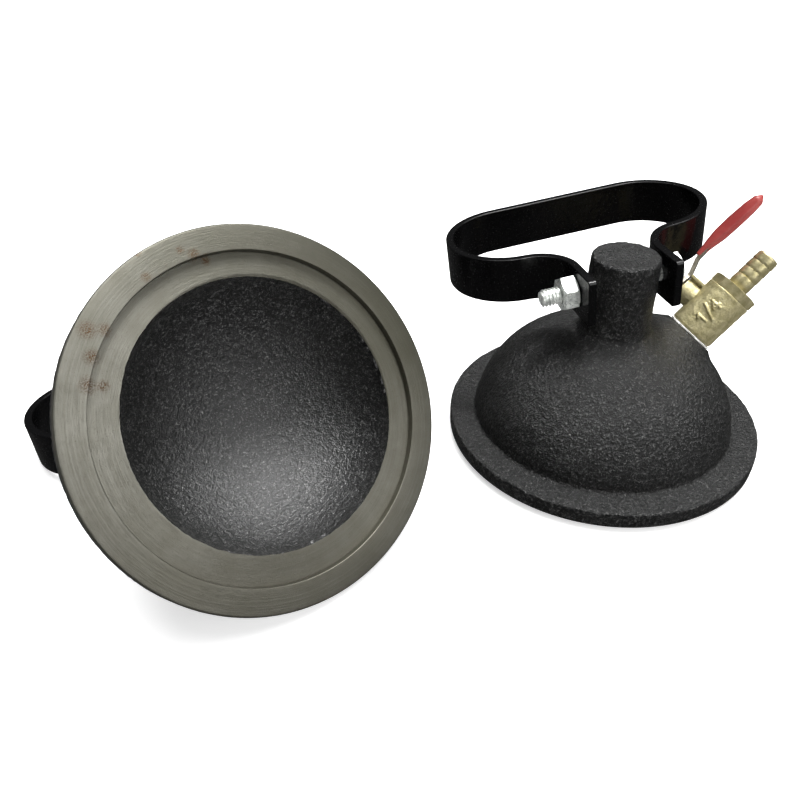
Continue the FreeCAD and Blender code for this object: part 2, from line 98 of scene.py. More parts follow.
# %% Build the floor and the lights
FLOOR_HALF, FLOOR_Z = 3.0, -0.0002
SWEEP_WHITE, SWEEP_GLOW = 0.95, 0.55
ROOM_LIGHT = 0.06
AIM_Z = 0.04
SUN_OFF, SUN_Z = (0.14, 0.16), 0.97
SUNS = (("overhead", 3.6, 60), ("sparkle", 3.0, 16))
PANEL_AT, PANEL_POWER, PANEL_SIZE = (0.42, -0.62, 0.50), 4.0, 0.6


def pale_floor():
    bm = bmesh.new()
    bmesh.ops.create_grid(bm, x_segments=1, y_segments=1, size=FLOOR_HALF)
    mesh = bpy.data.meshes.new("floor")
    bm.to_mesh(mesh)
    bm.free()
    floor = bpy.data.objects.new("floor", mesh)
    bpy.context.scene.collection.objects.link(floor)
    floor.location.z = FLOOR_Z
    material = bpy.data.materials.new("floor_white")
    material.use_nodes = True
    shader = material.node_tree.nodes["Principled BSDF"]
    shader.inputs["Base Color"].default_value = (SWEEP_WHITE, SWEEP_WHITE, SWEEP_WHITE, 1)
    shader.inputs["Roughness"].default_value = 0.9
    shader.inputs["Specular IOR Level"].default_value = 0.1
    shader.inputs["Emission Color"].default_value = (1, 1, 1, 1)
    shader.inputs["Emission Strength"].default_value = SWEEP_GLOW
    mesh.materials.append(material)
    floor.visible_glossy = False


def lamp(name, kind, at, towards, power):
    """A light of one kind that faces a point."""
    data = bpy.data.lights.new(name, kind)
    data.energy = power
    light = bpy.data.objects.new(name, data)
    light.location = at
    light.rotation_euler = (Vector(towards) - Vector(at)).to_track_quat("-Z", "Y").to_euler()
    bpy.context.scene.collection.objects.link(light)
    return data


pale_floor()
MIDDLE = ((CAD_BOX[0][0] + CAD_BOX[1][0]) / 2, (CAD_BOX[0][1] + CAD_BOX[1][1]) / 2, AIM_Z)
ABOVE = (MIDDLE[0] + SUN_OFF[0], MIDDLE[1] + SUN_OFF[1], SUN_Z)
for name, power, spread in SUNS:
    lamp(name, "SUN", ABOVE, MIDDLE, power).angle = math.radians(spread)
panel = lamp("side", "AREA", PANEL_AT, MIDDLE, PANEL_POWER)
panel.shape = "SQUARE"
panel.size = PANEL_SIZE
world = bpy.data.worlds.new("studio")
bpy.context.scene.world = world
world.use_nodes = True
room = world.node_tree
room.nodes["Background"].inputs["Color"].default_value = (1, 1, 1, 1)
path = room.nodes.new("ShaderNodeLightPath")
seen = room.nodes.new("ShaderNodeMapRange")
seen.inputs["To Min"].default_value = ROOM_LIGHT
room.links.new(path.outputs["Is Camera Ray"], seen.inputs["Value"])
room.links.new(seen.outputs["Result"], room.nodes["Background"].inputs["Strength"])
print("floor and", len(bpy.data.lights), "lights set")

# %% [markdown]
# Places of the parts
# Each part is easiest to shape about its own axis, in millimetres. A place is the turn and the
# move that carry it to where the frame holds it. The hinges and the hose mount of the frame give
# the directions; only the middles of the two joint faces and the droop of the handles are
# written here.

# %% Work out each part's place
FACE_A = Vector((-120.3, -57.0, 52.25))
FACE_B = Vector((0.0, 0.0, 2.0))
HANDLE_DROP = {"a": 5.44, "b": 1.2}
HANDLE_SHIFT = {"a": 0.0, "b": -0.6}
STEM_LEVEL = 12.1
UP = Vector((0, 0, 1))


def axes_place(origin, x_way, z_way):
    """Place with X along one direction and Z as near as can be to another."""
    x = x_way.normalized()
    z = (z_way - x * z_way.dot(x)).normalized()
    turn = Matrix((x, z.cross(x), z)).transposed()
    return Matrix.Translation(origin) @ turn.to_4x4()


def joint_line(name):
    return Vector(JOINTS[name]["pos_m"]) / MM, Vector(JOINTS[name]["axis"])


BOLT_A, BOLT_A_WAY = joint_line("handle_a_swing")
BOLT_B, BOLT_B_WAY = joint_line("handle_b_swing")
STEM, STEM_WAY = joint_line("valve_lever_turn")
FLOW_WAY = Vector(next(m["axis"] for m in frame["record"]["mounts"] if m["name"] == "hose_bore"))


def handle_place(letter, bolt, way):
    """Bolt frame: X along the bolt, Y towards the loop."""
    back = UP.cross(way).normalized()
    loop = Matrix.Rotation(-math.radians(HANDLE_DROP[letter]), 3, way) @ back
    return axes_place(bolt + way * HANDLE_SHIFT[letter], way, way.cross(loop))


CASTING_PLACE = {"a": axes_place(FACE_A, BOLT_A_WAY, BOLT_A - FACE_A),
                 "b": axes_place(FACE_B, Vector((BOLT_B_WAY.x, BOLT_B_WAY.y, 0)), UP)}
HANDLE_PLACE = {"a": handle_place("a", BOLT_A, BOLT_A_WAY),
                "b": handle_place("b", BOLT_B, BOLT_B_WAY)}
VALVE_PLACE = axes_place(STEM - FLOW_WAY * STEM_LEVEL, STEM_WAY, FLOW_WAY)
print("lean of hemisphere A", round(math.degrees(math.asin((BOLT_A - FACE_A).normalized().z)), 2))

# %% [markdown]
# Helpers for pieces
# A turned part is an outline spun round its axis, so one helper spins and another hands the
# finished mesh to its body. Edges sharper than a chosen angle stay crisp, the rest shade smooth.

# %% Shape helpers
SHARP = math.radians(40)


def arc(x, y, radius, start, end, count):
    """Points of a circular stretch of outline, angles in degrees."""
    angles = [math.radians(start + (end - start) * i / count) for i in range(count + 1)]
    return [(x + radius * math.cos(a), y + radius * math.sin(a)) for a in angles]


def spun(outline, steps=96, shut=False):
    """Spin an outline of (radius, height) points about Z; a shut outline is a loop off the axis."""
    bm = bmesh.new()
    verts = [bm.verts.new((radius, 0, height)) for radius, height in outline]
    for one, two in zip(verts, verts[1:] + (verts[:1] if shut else [])):
        bm.edges.new((one, two))
    bmesh.ops.spin(bm, geom=bm.verts[:] + bm.edges[:], cent=(0, 0, 0), axis=(0, 0, 1),
                   angle=2 * math.pi, steps=steps, use_merge=True)
    bmesh.ops.remove_doubles(bm, verts=bm.verts[:], dist=1e-4)
    bmesh.ops.recalc_face_normals(bm, faces=bm.faces[:])
    return bm


def mark_creases(bm, angle):
    for face in bm.faces:
        face.smooth = True
    for edge in bm.edges:
        edge.smooth = not (len(edge.link_faces) == 2 and edge.calc_face_angle(0) > angle)


def hand_over(bm, name, place, material, body, *nodes, crease=SHARP):
    """Put a finished shape in its place, as a piece that rides its body in place of CAD nodes."""
    mark_creases(bm, crease)
    bm.transform(Matrix.Diagonal((MM, MM, MM, 1)) @ place)
    mesh = bpy.data.meshes.new(name)
    bm.to_mesh(mesh)
    bm.free()
    mesh.materials.append(material)
    piece = bpy.data.objects.new(name, mesh)
    bpy.context.scene.collection.objects.link(piece)
    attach(piece, body)
    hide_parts(*nodes)
    print(name, len(mesh.vertices), "vertices")
    return piece


def through_modifier(bm, kind, settings, other=None):
    """Run one shape, and a second one if given, through a modifier and return the result."""
    helpers = []
    for shape in (bm, other) if other else (bm,):
        mesh = bpy.data.meshes.new("bench")
        shape.to_mesh(mesh)
        shape.free()
        helpers.append(bpy.data.objects.new("bench", mesh))
        bpy.context.scene.collection.objects.link(helpers[-1])
    modifier = helpers[0].modifiers.new("tool", kind)
    for name, value in settings.items():
        setattr(modifier, name, value)
    if other:
        modifier.object = helpers[1]
    result = bmesh.new()
    result.from_mesh(helpers[0].evaluated_get(bpy.context.evaluated_depsgraph_get()).to_mesh())
    for helper in helpers:
        bpy.data.objects.remove(helper, do_unlink=True)
    return result


def combine(bm, other, operation="DIFFERENCE"):
    """Boolean of two shapes, returned as a new shape."""
    return through_modifier(bm, "BOOLEAN", {"operation": operation, "solver": "EXACT"}, other)


def joined(*shapes):
    """Several shapes in one mesh, each still shut in itself."""
    whole = bmesh.new()
    for shape in shapes:
        mesh = bpy.data.meshes.new("joining")
        shape.to_mesh(mesh)
        shape.free()
        whole.from_mesh(mesh)
        bpy.data.meshes.remove(mesh)
    return whole


def post(radius, low, high, sides=48):
    """Closed cylinder along Z."""
    bm = bmesh.new()
    middle = Matrix.Translation((0, 0, (low + high) / 2))
    bmesh.ops.create_cone(bm, cap_ends=True, segments=sides, radius1=radius, radius2=radius,
                          depth=high - low, matrix=middle)
    return bm


def moved(bm, matrix):
    bm.transform(matrix)
    return bm


def between(value, low, high):
    """How far a value has gone from low to high, eased and held at 0 and 1."""
    share = min(1.0, max(0.0, (value - low) / (high - low)))
    return share * share * (3 - 2 * share)


def read_line(points, at):
    """Height of a line of (station, height) points at a station."""
    for (x0, y0), (x1, y1) in zip(points, points[1:]):
        if at <= x1:
            return y0 + (y1 - y0) * (at - x0) / (x1 - x0) if x1 > x0 else y1
    return points[-1][1]


def unevenness(co, waves):
    """Height of several noises laid over each other, given as (scale, depth)."""
    return sum(noise.noise(co * scale) * depth for scale, depth in waves)


Z_TO_X = Matrix.Rotation(math.radians(90), 4, "Y")
print("helpers ready")

# %% [markdown]
# Material helpers
# Every finish here is procedural. Patterns are read in millimetres about the part's own axis,
# through a Mapping node of the texture kind that undoes the part's place, so lathe lines stay
# round and grain keeps its real size. One helper makes a node and fills its sockets, and the
# others name the few kinds of node that are used over and over.

# %% Node helpers
def new_material(name, roughness=0.5, metallic=0.0, specular=0.5):
    material = bpy.data.materials.new(name)
    material.use_nodes = True
    shader = material.node_tree.nodes["Principled BSDF"]
    shader.inputs["Roughness"].default_value = roughness
    shader.inputs["Metallic"].default_value = metallic
    shader.inputs["Specular IOR Level"].default_value = specular
    return material, material.node_tree, shader


def feed(tree, socket, value):
    """Link a socket to another one, or set it to a plain value."""
    if isinstance(value, bpy.types.NodeSocket):
        tree.links.new(value, socket)
    else:
        socket.default_value = (*value, 1) if socket.type == "RGBA" else value


def node(tree, kind, values, **settings):
    """Outputs of a new node, after its settings are made and its sockets fed by name or number."""
    box = tree.nodes.new("ShaderNode" + kind)
    for name, value in settings.items():
        setattr(box, name, value)
    for name, value in values.items():
        feed(tree, box.inputs[name], value)
    return box.outputs


def part_coordinates(tree, place):
    """Object coordinates in millimetres in a part's own frame."""
    source = node(tree, "TexCoord", {})["Object"]
    given = {"Vector": source, "Location": place.to_translation() * MM, "Rotation": place.to_euler(),
             "Scale": (MM, MM, MM)}
    return node(tree, "Mapping", given, vector_type="TEXTURE")["Vector"]


def noise_field(tree, vector, scale, detail=3.0, rough=0.5):
    given = {"Vector": vector, "Scale": scale, "Detail": detail, "Roughness": rough}
    return node(tree, "TexNoise", given)["Fac"]


def remap(tree, value, low, high, to_low=0.0, to_high=1.0):
    """Clamped straight-line change of range; the ends may be plain numbers or sockets."""
    given = {"Value": value, "From Min": low, "From Max": high, "To Min": to_low, "To Max": to_high}
    return node(tree, "MapRange", given)["Result"]


def sums(tree, kind, first, second):
    """One arithmetic node; either side may be a plain number."""
    return node(tree, "Math", {0: first, 1: second}, operation=kind)["Value"]


def blend_colours(tree, amount, first, second):
    """Mix two colours, inputs 6 and 7 of the node; each may be a plain colour or a socket."""
    return node(tree, "Mix", {"Factor": amount, 6: first, 7: second}, data_type="RGBA")[2]


def bump(tree, shader, height, distance, strength=1.0):
    given = {"Height": height, "Distance": distance, "Strength": strength}
    tree.links.new(node(tree, "Bump", given)["Normal"], shader.inputs["Normal"])


print("node helpers ready")

# %% [markdown]
# Two effects that many finishes share
# Cast grit is the sandy skin of anything poured in a sand mould, here the iron and the valve
# brass. Mottle is the slow cloudiness that keeps any plating, vinyl or tape from looking like one
# flat colour. Each is a node group that is built once, and every finish sets its own grain size.

# %% Build the shared groups
def effect_group(name, inputs, outputs):
    """Empty node group with named sockets, given as (name, kind, start value)."""
    group = bpy.data.node_groups.new(name, "ShaderNodeTree")
    for socket_name, kind, start in inputs:
        socket = group.interface.new_socket(socket_name, in_out="INPUT", socket_type=kind)
        if start is not None:
            socket.default_value = start
    for socket_name, kind in outputs:
        group.interface.new_socket(socket_name, in_out="OUTPUT", socket_type=kind)
    return group, group.nodes.new("NodeGroupInput").outputs, group.nodes.new("NodeGroupOutput").inputs


def cast_grit_group():
    group, given, made = effect_group(
        "cast_grit",
        [("Vector", "NodeSocketVector", None), ("Lump", "NodeSocketFloat", 0.8),
         ("Grit", "NodeSocketFloat", 2.4)],
        [("Height", "NodeSocketFloat"), ("Fleck", "NodeSocketFloat"), ("Broad", "NodeSocketFloat")])
    lumps = noise_field(group, given["Vector"], given["Lump"], 4.0, 0.62)
    fine = noise_field(group, given["Vector"], given["Grit"], 2.0, 0.6)
    broad = noise_field(group, given["Vector"], 0.05, 3.0, 0.55)
    group.links.new(sums(group, "ADD", lumps, sums(group, "MULTIPLY", fine, 0.5)), made["Height"])
    both = sums(group, "ADD", fine, sums(group, "MULTIPLY", lumps, 0.6))
    group.links.new(remap(group, both, 0.85, 1.08), made["Fleck"])
    group.links.new(remap(group, broad, 0.38, 0.64), made["Broad"])
    return group


def mottle_group():
    group, given, made = effect_group(
        "mottle",
        [("Vector", "NodeSocketVector", None), ("Scale", "NodeSocketFloat", 0.5),
         ("Dark", "NodeSocketColor", (0.2, 0.2, 0.2, 1)), ("Light", "NodeSocketColor", (0.6, 0.6, 0.6, 1)),
         ("Low", "NodeSocketFloat", 0.35), ("High", "NodeSocketFloat", 0.65)],
        [("Color", "NodeSocketColor"), ("Mask", "NodeSocketFloat")])
    cloud = noise_field(group, given["Vector"], given["Scale"], 4.0, 0.6)
    mask = remap(group, cloud, given["Low"], given["High"])
    group.links.new(blend_colours(group, mask, given["Dark"], given["Light"]), made["Color"])
    group.links.new(mask, made["Mask"])
    return group


CAST_GRIT, MOTTLE = cast_grit_group(), mottle_group()


def effect(tree, group, vector, **values):
    """Place a shared group in a material and return its outputs."""
    return node(tree, "Group", {"Vector": vector, **values}, node_tree=group)


print("groups", [group.name for group in bpy.data.node_groups])

# %% [markdown]
# Sandy black paint
# The castings are painted straight over the sand-cast skin, so the paint is grainy: pinhead lumps
# about a millimetre across with finer grit between them. The lumps catch the light one by one,
# which reads as sparkle, while the hollows stay black. The open half took the thicker and
# glossier coat, so each casting has its own mirror strength.

# %% Build the paint
LUMP_SCALE, GRIT_SCALE = 0.75, 1.8
SOOT, WORN_SOOT = (0.0012, 0.0014, 0.0012), (0.0036, 0.0038, 0.0036)


def sandy_paint(name, place, bending, level, tip, relief):
    """Grainy black; bending power and level set the gloss of the coat, tip that of rubbed grains."""
    material, tree, shader = new_material(name, 0.36, 0.0, level)
    shader.inputs["IOR"].default_value = bending
    where = part_coordinates(tree, place)
    skin = effect(tree, CAST_GRIT, where, Lump=LUMP_SCALE, Grit=GRIT_SCALE)
    bump(tree, shader, skin["Height"], relief)
    shade = blend_colours(tree, skin["Broad"], SOOT, WORN_SOOT)
    paint = blend_colours(tree, skin["Fleck"], shade, (tip, tip, tip * 0.98))
    tree.links.new(paint, shader.inputs["Base Color"])
    tree.links.new(sums(tree, "MULTIPLY", skin["Fleck"], 0.85), shader.inputs["Metallic"])
    tree.links.new(remap(tree, skin["Height"], 0.5, 1.0, 0.42, 0.30), shader.inputs["Roughness"])
    return material


PAINT = {"a": sandy_paint("sandy_paint_a", CASTING_PLACE["a"], 1.65, 0.72, 0.27, 0.00065),
         "b": sandy_paint("sandy_paint_b", CASTING_PLACE["b"], 1.45, 0.5, 0.14, 0.0010)}
print("paints", [paint.name for paint in PAINT.values()])

# %% [markdown]
# Turned iron
# The joint face is bare cast iron off the lathe: a grey-brown metal with very fine circular
# lines. The distance from the axis drives the lines, and a slow noise along the turn keeps them
# from being perfect. Painted shade makes the face darker at the top, on the right and at the
# lower left, and brown rust has started in a few small places where water stood on the ring.
# Each of these is one wash of colour over the last, laid on where some value goes from one
# number to another.

# %% Build the turned face
RUST = [((-0.5, -52.7), 1.9), ((3.0, -50.3), 1.6), ((-3.9, -55.0), 1.3), ((-16.5, -50.7), 1.5),
        ((-15.9, -57.8), 1.2), ((-37.4, -42.3), 2.6), ((-33.1, -40.7), 2.0), ((-39.3, -35.1), 2.4),
        ((-43.4, -28.5), 2.6), ((-39.5, -26.9), 1.8)]
RUST_BROWN = (0.070, 0.034, 0.014)
FILM_DARK, FILM_LIGHT = (0.150, 0.145, 0.118), (0.235, 0.230, 0.200)
LINE_PALE, BAND_GREY, SPECK_BROWN = (0.31, 0.305, 0.27), (0.16, 0.155, 0.125), (0.07, 0.06, 0.045)
# Colours of the painted shade on the right, lower left and top of the turned face.
SHADE_RIGHT, SHADE_LOWER_LEFT, SHADE_TOP = (0.085, 0.082, 0.060), (0.078, 0.074, 0.058), (0.080, 0.078, 0.062)


def round_the_axis(tree, where):
    """The vector without its height, its length, and its two sides."""
    side = node(tree, "SeparateXYZ", {"Vector": where})
    flat = node(tree, "CombineXYZ", {"X": side["X"], "Y": side["Y"]})["Vector"]
    radius = node(tree, "VectorMath", {0: flat}, operation="LENGTH")["Value"]
    return flat, radius, side["X"], side["Y"]


def rust_spots(tree, flat, speck, tone):
    """Small brown patches with broken edges."""
    for (x, y), size in RUST:
        away = node(tree, "VectorMath", {0: flat, 1: (x, y, 0)}, operation="DISTANCE")["Value"]
        near = remap(tree, away, size * 1.25, size * 0.2)
        patch = sums(tree, "MULTIPLY", near, remap(tree, speck, 0.44, 0.56, 0.1, 1.0))
        tone = blend_colours(tree, patch, tone, RUST_BROWN)
    return tone


def wash(tree, tone, value, low, high, most, colour):
    """Lay a colour over a tone, from nothing where the value is low to the most where it is high."""
    return blend_colours(tree, remap(tree, value, low, high, 0.0, most), tone, colour)


def painted_shade_sides(tree, tone, sideways, downwards):
    """Painted shade: the face made darker on the right, at the lower left and at the top."""
    right = sums(tree, "MULTIPLY", remap(tree, sideways, -30.0, 56.0, 0.0, 0.85),
                 remap(tree, downwards, 0.0, 50.0, 1.0, 0.3))
    lower_left = sums(tree, "ADD", downwards, sums(tree, "MULTIPLY", sideways, -0.5))
    tone = blend_colours(tree, right, tone, SHADE_RIGHT)
    tone = wash(tree, tone, lower_left, 8.0, 52.0, 0.72, SHADE_LOWER_LEFT)
    return wash(tree, tone, downwards, -20.0, -60.0, 0.7, SHADE_TOP)


def turned_iron(name, place):
    material, tree, shader = new_material(name, 0.42, 0.9)
    where = part_coordinates(tree, place)
    flat, radius, sideways, downwards = round_the_axis(tree, where)
    drift = sums(tree, "MULTIPLY", noise_field(tree, where, 0.06, 2.0), 0.6)
    ring = node(tree, "CombineXYZ", {"X": radius, "Y": drift})["Vector"]
    lines = noise_field(tree, ring, 5.0, 4.0, 0.75)
    bands = noise_field(tree, ring, 0.7, 2.0, 0.6)
    speck = noise_field(tree, where, 2.2, 3.0, 0.7)
    film = effect(tree, MOTTLE, where, Scale=0.12, Dark=FILM_DARK, Light=FILM_LIGHT)
    tone = wash(tree, film["Color"], lines, 0.32, 0.68, 0.6, LINE_PALE)
    tone = wash(tree, tone, bands, 0.35, 0.65, 0.4, BAND_GREY)
    # Painted shade, darker on the right, at the lower left and at the top.
    tone = painted_shade_sides(tree, tone, sideways, downwards)
    tone = wash(tree, tone, speck, 0.60, 0.74, 0.7, SPECK_BROWN)
    tree.links.new(rust_spots(tree, flat, speck, tone), shader.inputs["Base Color"])
    tree.links.new(remap(tree, lines, 0.3, 0.7, 0.50, 0.38), shader.inputs["Roughness"])
    bump(tree, shader, lines, 0.00012)
    return material


TURNED = turned_iron("turned_iron", CASTING_PLACE["a"])
print("turned iron with", len(RUST), "spots of rust")

# %% [markdown]
# Smooth black bar
# The handles are flat bar under a smooth stoving enamel: almost black, with a clean soft gloss
# on the faces that look at the light. A trace of orange peel and dust keeps the reflection from
# looking like glass.

# %% Build the enamel
WORLD_FRAME = Matrix.Identity(4)
STOVE_BLACK, DUST_GREY = (0.0012, 0.0012, 0.0014), (0.004, 0.004, 0.004)


def bar_enamel(name):
    material, tree, shader = new_material(name, 0.3, 0.0, 0.3)
    where = part_coordinates(tree, WORLD_FRAME)
    peel = noise_field(tree, where, 0.35, 2.0)
    dust = effect(tree, MOTTLE, where, Scale=1.3, Dark=STOVE_BLACK, Light=DUST_GREY, Low=0.58, High=0.80)
    tree.links.new(dust["Color"], shader.inputs["Base Color"])
    tree.links.new(remap(tree, dust["Mask"], 0.0, 1.0, 0.22, 0.4), shader.inputs["Roughness"])
    bump(tree, shader, peel, 0.0003, 0.6)
    return material


ENAMEL = bar_enamel("bar_enamel")
print("enamel built")

# %% [markdown]
# Plated and plain metals
# Zinc plate is a pale and slightly cloudy grey, cast brass is a dull olive yellow with a sandy
# skin, and turned brass is the same metal with a brighter cut face. The plain ones share one
# recipe with different colours and grain. The cast one takes the grit of its mould instead, and
# its hollows hold dirt.

# %% Build the metals
BRASS_DARK, BRASS_LIGHT, BRASS_DIRT = (0.42, 0.37, 0.19), (0.62, 0.56, 0.33), (0.11, 0.095, 0.045)


def plain_metal(name, dark, light, roughness, grain, depth, metallic):
    material, tree, shader = new_material(name, roughness, metallic)
    where = part_coordinates(tree, WORLD_FRAME)
    cloud = effect(tree, MOTTLE, where, Scale=grain * 0.3, Dark=dark, Light=light)
    skin = noise_field(tree, where, grain, 3.0, 0.6)
    tree.links.new(cloud["Color"], shader.inputs["Base Color"])
    sheen = remap(tree, skin, 0.3, 0.7, roughness - 0.08, roughness + 0.1)
    tree.links.new(sheen, shader.inputs["Roughness"])
    bump(tree, shader, skin, depth)
    return material


def cast_brass(name):
    material, tree, shader = new_material(name, 0.5, 0.75)
    where = part_coordinates(tree, VALVE_PLACE)
    skin = effect(tree, CAST_GRIT, where, Lump=1.1, Grit=3.0)
    cloud = effect(tree, MOTTLE, where, Scale=0.35, Dark=BRASS_DARK, Light=BRASS_LIGHT)
    hollows = remap(tree, skin["Height"], 0.50, 0.75, 0.35, 0.0)
    brass = blend_colours(tree, hollows, cloud["Color"], BRASS_DIRT)
    tree.links.new(brass, shader.inputs["Base Color"])
    tree.links.new(remap(tree, skin["Height"], 0.5, 1.0, 0.42, 0.58), shader.inputs["Roughness"])
    bump(tree, shader, skin["Height"], 0.00015)
    return material


ZINC = plain_metal("zinc_plate", (0.42, 0.44, 0.42), (0.90, 0.92, 0.88), 0.3, 1.5, 0.00006, 0.6)
CAST_BRASS = cast_brass("cast_brass")
TURNED_BRASS = plain_metal("turned_brass", (0.44, 0.39, 0.20), (0.68, 0.61, 0.36), 0.36, 1.2, 0.00008, 0.8)
PLATE_STEEL = plain_metal("lever_steel", (0.36, 0.32, 0.24), (0.58, 0.53, 0.43), 0.35, 1.2, 0.00006, 0.9)
print("metals", [metal.name for metal in (ZINC, CAST_BRASS, TURNED_BRASS, PLATE_STEEL)])

# %% [markdown]
# Tape, seals and the soft sleeve
# Thread tape is matt white and a little cloudy, the hidden seals are plain white polymer, and the
# lever sleeve is dipped vinyl: a deep red with a waxy gloss.

# %% Build the polymers
def plain_polymer(name, dark, light, roughness, grain, depth):
    material, tree, shader = new_material(name, roughness)
    where = part_coordinates(tree, WORLD_FRAME)
    cloud = effect(tree, MOTTLE, where, Scale=grain, Dark=dark, Light=light)
    tree.links.new(cloud["Color"], shader.inputs["Base Color"])
    sheen = remap(tree, cloud["Mask"], 0.0, 1.0, roughness - 0.05, roughness + 0.08)
    tree.links.new(sheen, shader.inputs["Roughness"])
    bump(tree, shader, cloud["Mask"], depth)
    return material


TAPE = plain_polymer("thread_tape", (0.62, 0.61, 0.56), (0.84, 0.83, 0.80), 0.55, 0.8, 0.0004)
SEAL = plain_polymer("white_seal", (0.74, 0.74, 0.72), (0.84, 0.84, 0.82), 0.4, 0.5, 0.0001)
VINYL = plain_polymer("red_vinyl", (0.25, 0.034, 0.032), (0.33, 0.052, 0.046), 0.34, 0.12, 0.0001)
print("polymers", [polymer.name for polymer in (TAPE, SEAL, VINYL)])

# %% [markdown]
# Finishes for the frame's own parts
# Parts whose solids already have their final shape stay as they are and only take a finish.

# %% Dress the frame's parts
NODE_FINISH = {
    "hemisphere_a": PAINT["a"], "hemisphere_b": PAINT["b"], "handle_a": ENAMEL, "handle_b": ENAMEL,
    "pivot_bolt_a": ZINC, "pivot_bolt_b": ZINC, "pivot_nut_a": ZINC, "pivot_nut_b": ZINC,
    "thread_tape": TAPE, "valve_body": CAST_BRASS, "ball": ZINC, "seat_rings": SEAL,
    "stem": TURNED_BRASS, "thrust_washer": SEAL, "stem_packing": SEAL, "end_gasket": SEAL,
    "hose_barb": TURNED_BRASS, "lever": PLATE_STEEL, "lever_sleeve": VINYL, "lever_nut": ZINC,
}
for node_name, finish in NODE_FINISH.items():
    mesh = frame["nodes"][node_name].data
    mesh.materials.clear()
    mesh.materials.append(finish)
print("dressed", len(NODE_FINISH), "frame parts")

# %% [markdown]
# The castings
# Each half is one turned outline: bowl, joint face, flange, dome and boss share an axis. Spinning
# one outline gives clean rings of faces, so the sand-cast skin can be pushed in and out by a
# noise while the machined face stays flat. The bolt hole and the valve port are drilled
# afterwards.

# %% Sizes of a casting, in millimetres from the flange face
FLANGE_R, FLANGE_T, FLANGE_ROUND = 60.0, 6.5, 0.8
DOME_R, DOME_H, DOME_SIDE_R, DOME_BASE = 50.0, 42.7, 39.0, 3.0
BOWL_R, BOWL_H, BOWL_SIDE_R, BOWL_BASE = 43.5, 37.7, 34.3, 2.6
RECESS_R, SPIGOT_R, SPIGOT_H = 51.6, 51.3, 2.0
BOSS_R, BOSS_TOP, BOSS_DRAFT, BOSS_ROUND = 12.0, 74.0, 1.6, 1.5
FOOT_FILLET, BOSS_FILLET = 1.5, 3.5
BORE_R, BORE_REACH, BOLT_H, PORT_R = 3.255, 20, 64.1, 6.6
RIM_RINGS = (1.2, 2.4, 3.7)
FLANGE_RINGS = (1.4, 2.8, 4.2, 5.6, 7.0)
BOSS_END_RINGS = (9.5, 8.4, 7.2, 6.0, 4.8, 3.6, 2.4, 1.2, 0.0)
BOSS_STEPS, SPIN_STEPS = 20, 360
SHOULDER_GAP, CROWN_GAP = 1.5, 1.2


def crown(radial, axial, side_r):
    """Radius and lowest angle of the flatter crown that runs smoothly out of a round shoulder."""
    radius = ((radial - side_r) ** 2 + axial ** 2 - side_r ** 2) / (2 * (axial - side_r))
    return radius, math.degrees(math.atan2(radius - axial, radial - side_r))


def boss_radius(height):
    return BOSS_R + (BOSS_TOP - height) * math.tan(math.radians(BOSS_DRAFT))


def dome_outline():
    """Outer outline from the flange edge to the top of the boss; the gaps part neighbouring arcs."""
    crown_r, meet = crown(DOME_R, DOME_H, DOME_SIDE_R)
    crown_y = DOME_BASE + DOME_H - crown_r
    foot_y = FLANGE_T + FOOT_FILLET
    foot_x = DOME_R - DOME_SIDE_R + math.sqrt((DOME_SIDE_R + FOOT_FILLET) ** 2 - (foot_y - DOME_BASE) ** 2)
    foot_turn = math.degrees(math.atan2(foot_y - DOME_BASE, foot_x - DOME_R + DOME_SIDE_R))
    boss_x = boss_radius(DOME_H) + BOSS_FILLET
    boss_y = crown_y + math.sqrt((crown_r + BOSS_FILLET) ** 2 - boss_x ** 2)
    boss_turn = math.degrees(math.atan2(boss_y - crown_y, boss_x))
    rim = FLANGE_R - FLANGE_ROUND
    top = BOSS_TOP - BOSS_ROUND
    points = arc(rim, FLANGE_ROUND, FLANGE_ROUND, -90, 0, 4)
    points += [(FLANGE_R, FLANGE_ROUND + step) for step in RIM_RINGS]
    points += arc(rim, FLANGE_T - FLANGE_ROUND, FLANGE_ROUND, 0, 90, 4)
    points += [(rim - step, FLANGE_T) for step in FLANGE_RINGS]
    points += arc(foot_x, foot_y, FOOT_FILLET, -90, -180 + foot_turn, 5)
    points += arc(DOME_R - DOME_SIDE_R, DOME_BASE, DOME_SIDE_R, foot_turn + SHOULDER_GAP, meet, 40)
    points += arc(0, crown_y, crown_r, meet + CROWN_GAP, boss_turn, 28)
    points += arc(boss_x, boss_y, BOSS_FILLET, -180 + boss_turn, -180 - BOSS_DRAFT, 6)[1:]
    levels = [boss_y + (top - boss_y) * i / BOSS_STEPS for i in range(1, BOSS_STEPS)]
    points += [(boss_radius(level), level) for level in levels]
    points += arc(BOSS_R - BOSS_ROUND, top, BOSS_ROUND, 0, 90, 5)
    return points + [(radius, BOSS_TOP) for radius in BOSS_END_RINGS]


def bowl_outline(low):
    """Inner outline from the top of the bowl down to its mouth."""
    crown_r, meet = crown(BOWL_R, BOWL_H, BOWL_SIDE_R)
    points = arc(0, BOWL_BASE + BOWL_H - crown_r, crown_r, 90, meet, 34)
    points += arc(BOWL_R - BOWL_SIDE_R, BOWL_BASE, BOWL_SIDE_R, meet - SHOULDER_GAP, 0, 40)
    return points + ([(BOWL_R, low)] if low < BOWL_BASE else [])


BOWL_LINE = sorted(bowl_outline(BOWL_BASE))


def in_bowl(co):
    """Whether a point of the casting lies on its inner side."""
    radius = math.hypot(co.x, co.y)
    return radius < BOWL_R + 0.02 and co.z < read_line(BOWL_LINE, radius) + 1.5


for sizes in ((DOME_R, DOME_H, DOME_SIDE_R), (BOWL_R, BOWL_H, BOWL_SIDE_R)):
    print("crown radius", round(crown(*sizes)[0], 1))

# %% [markdown]
# The skin that the sand leaves
# Sand leaves three sizes of unevenness: a slow wave where the mould gave way, lumps of two or
# three millimetres, and coarse grit. These are real movements of the mesh, so they show in the
# outline of the flange and the boss as well as in the shading. The chilled end of the boss is the
# roughest part of all.

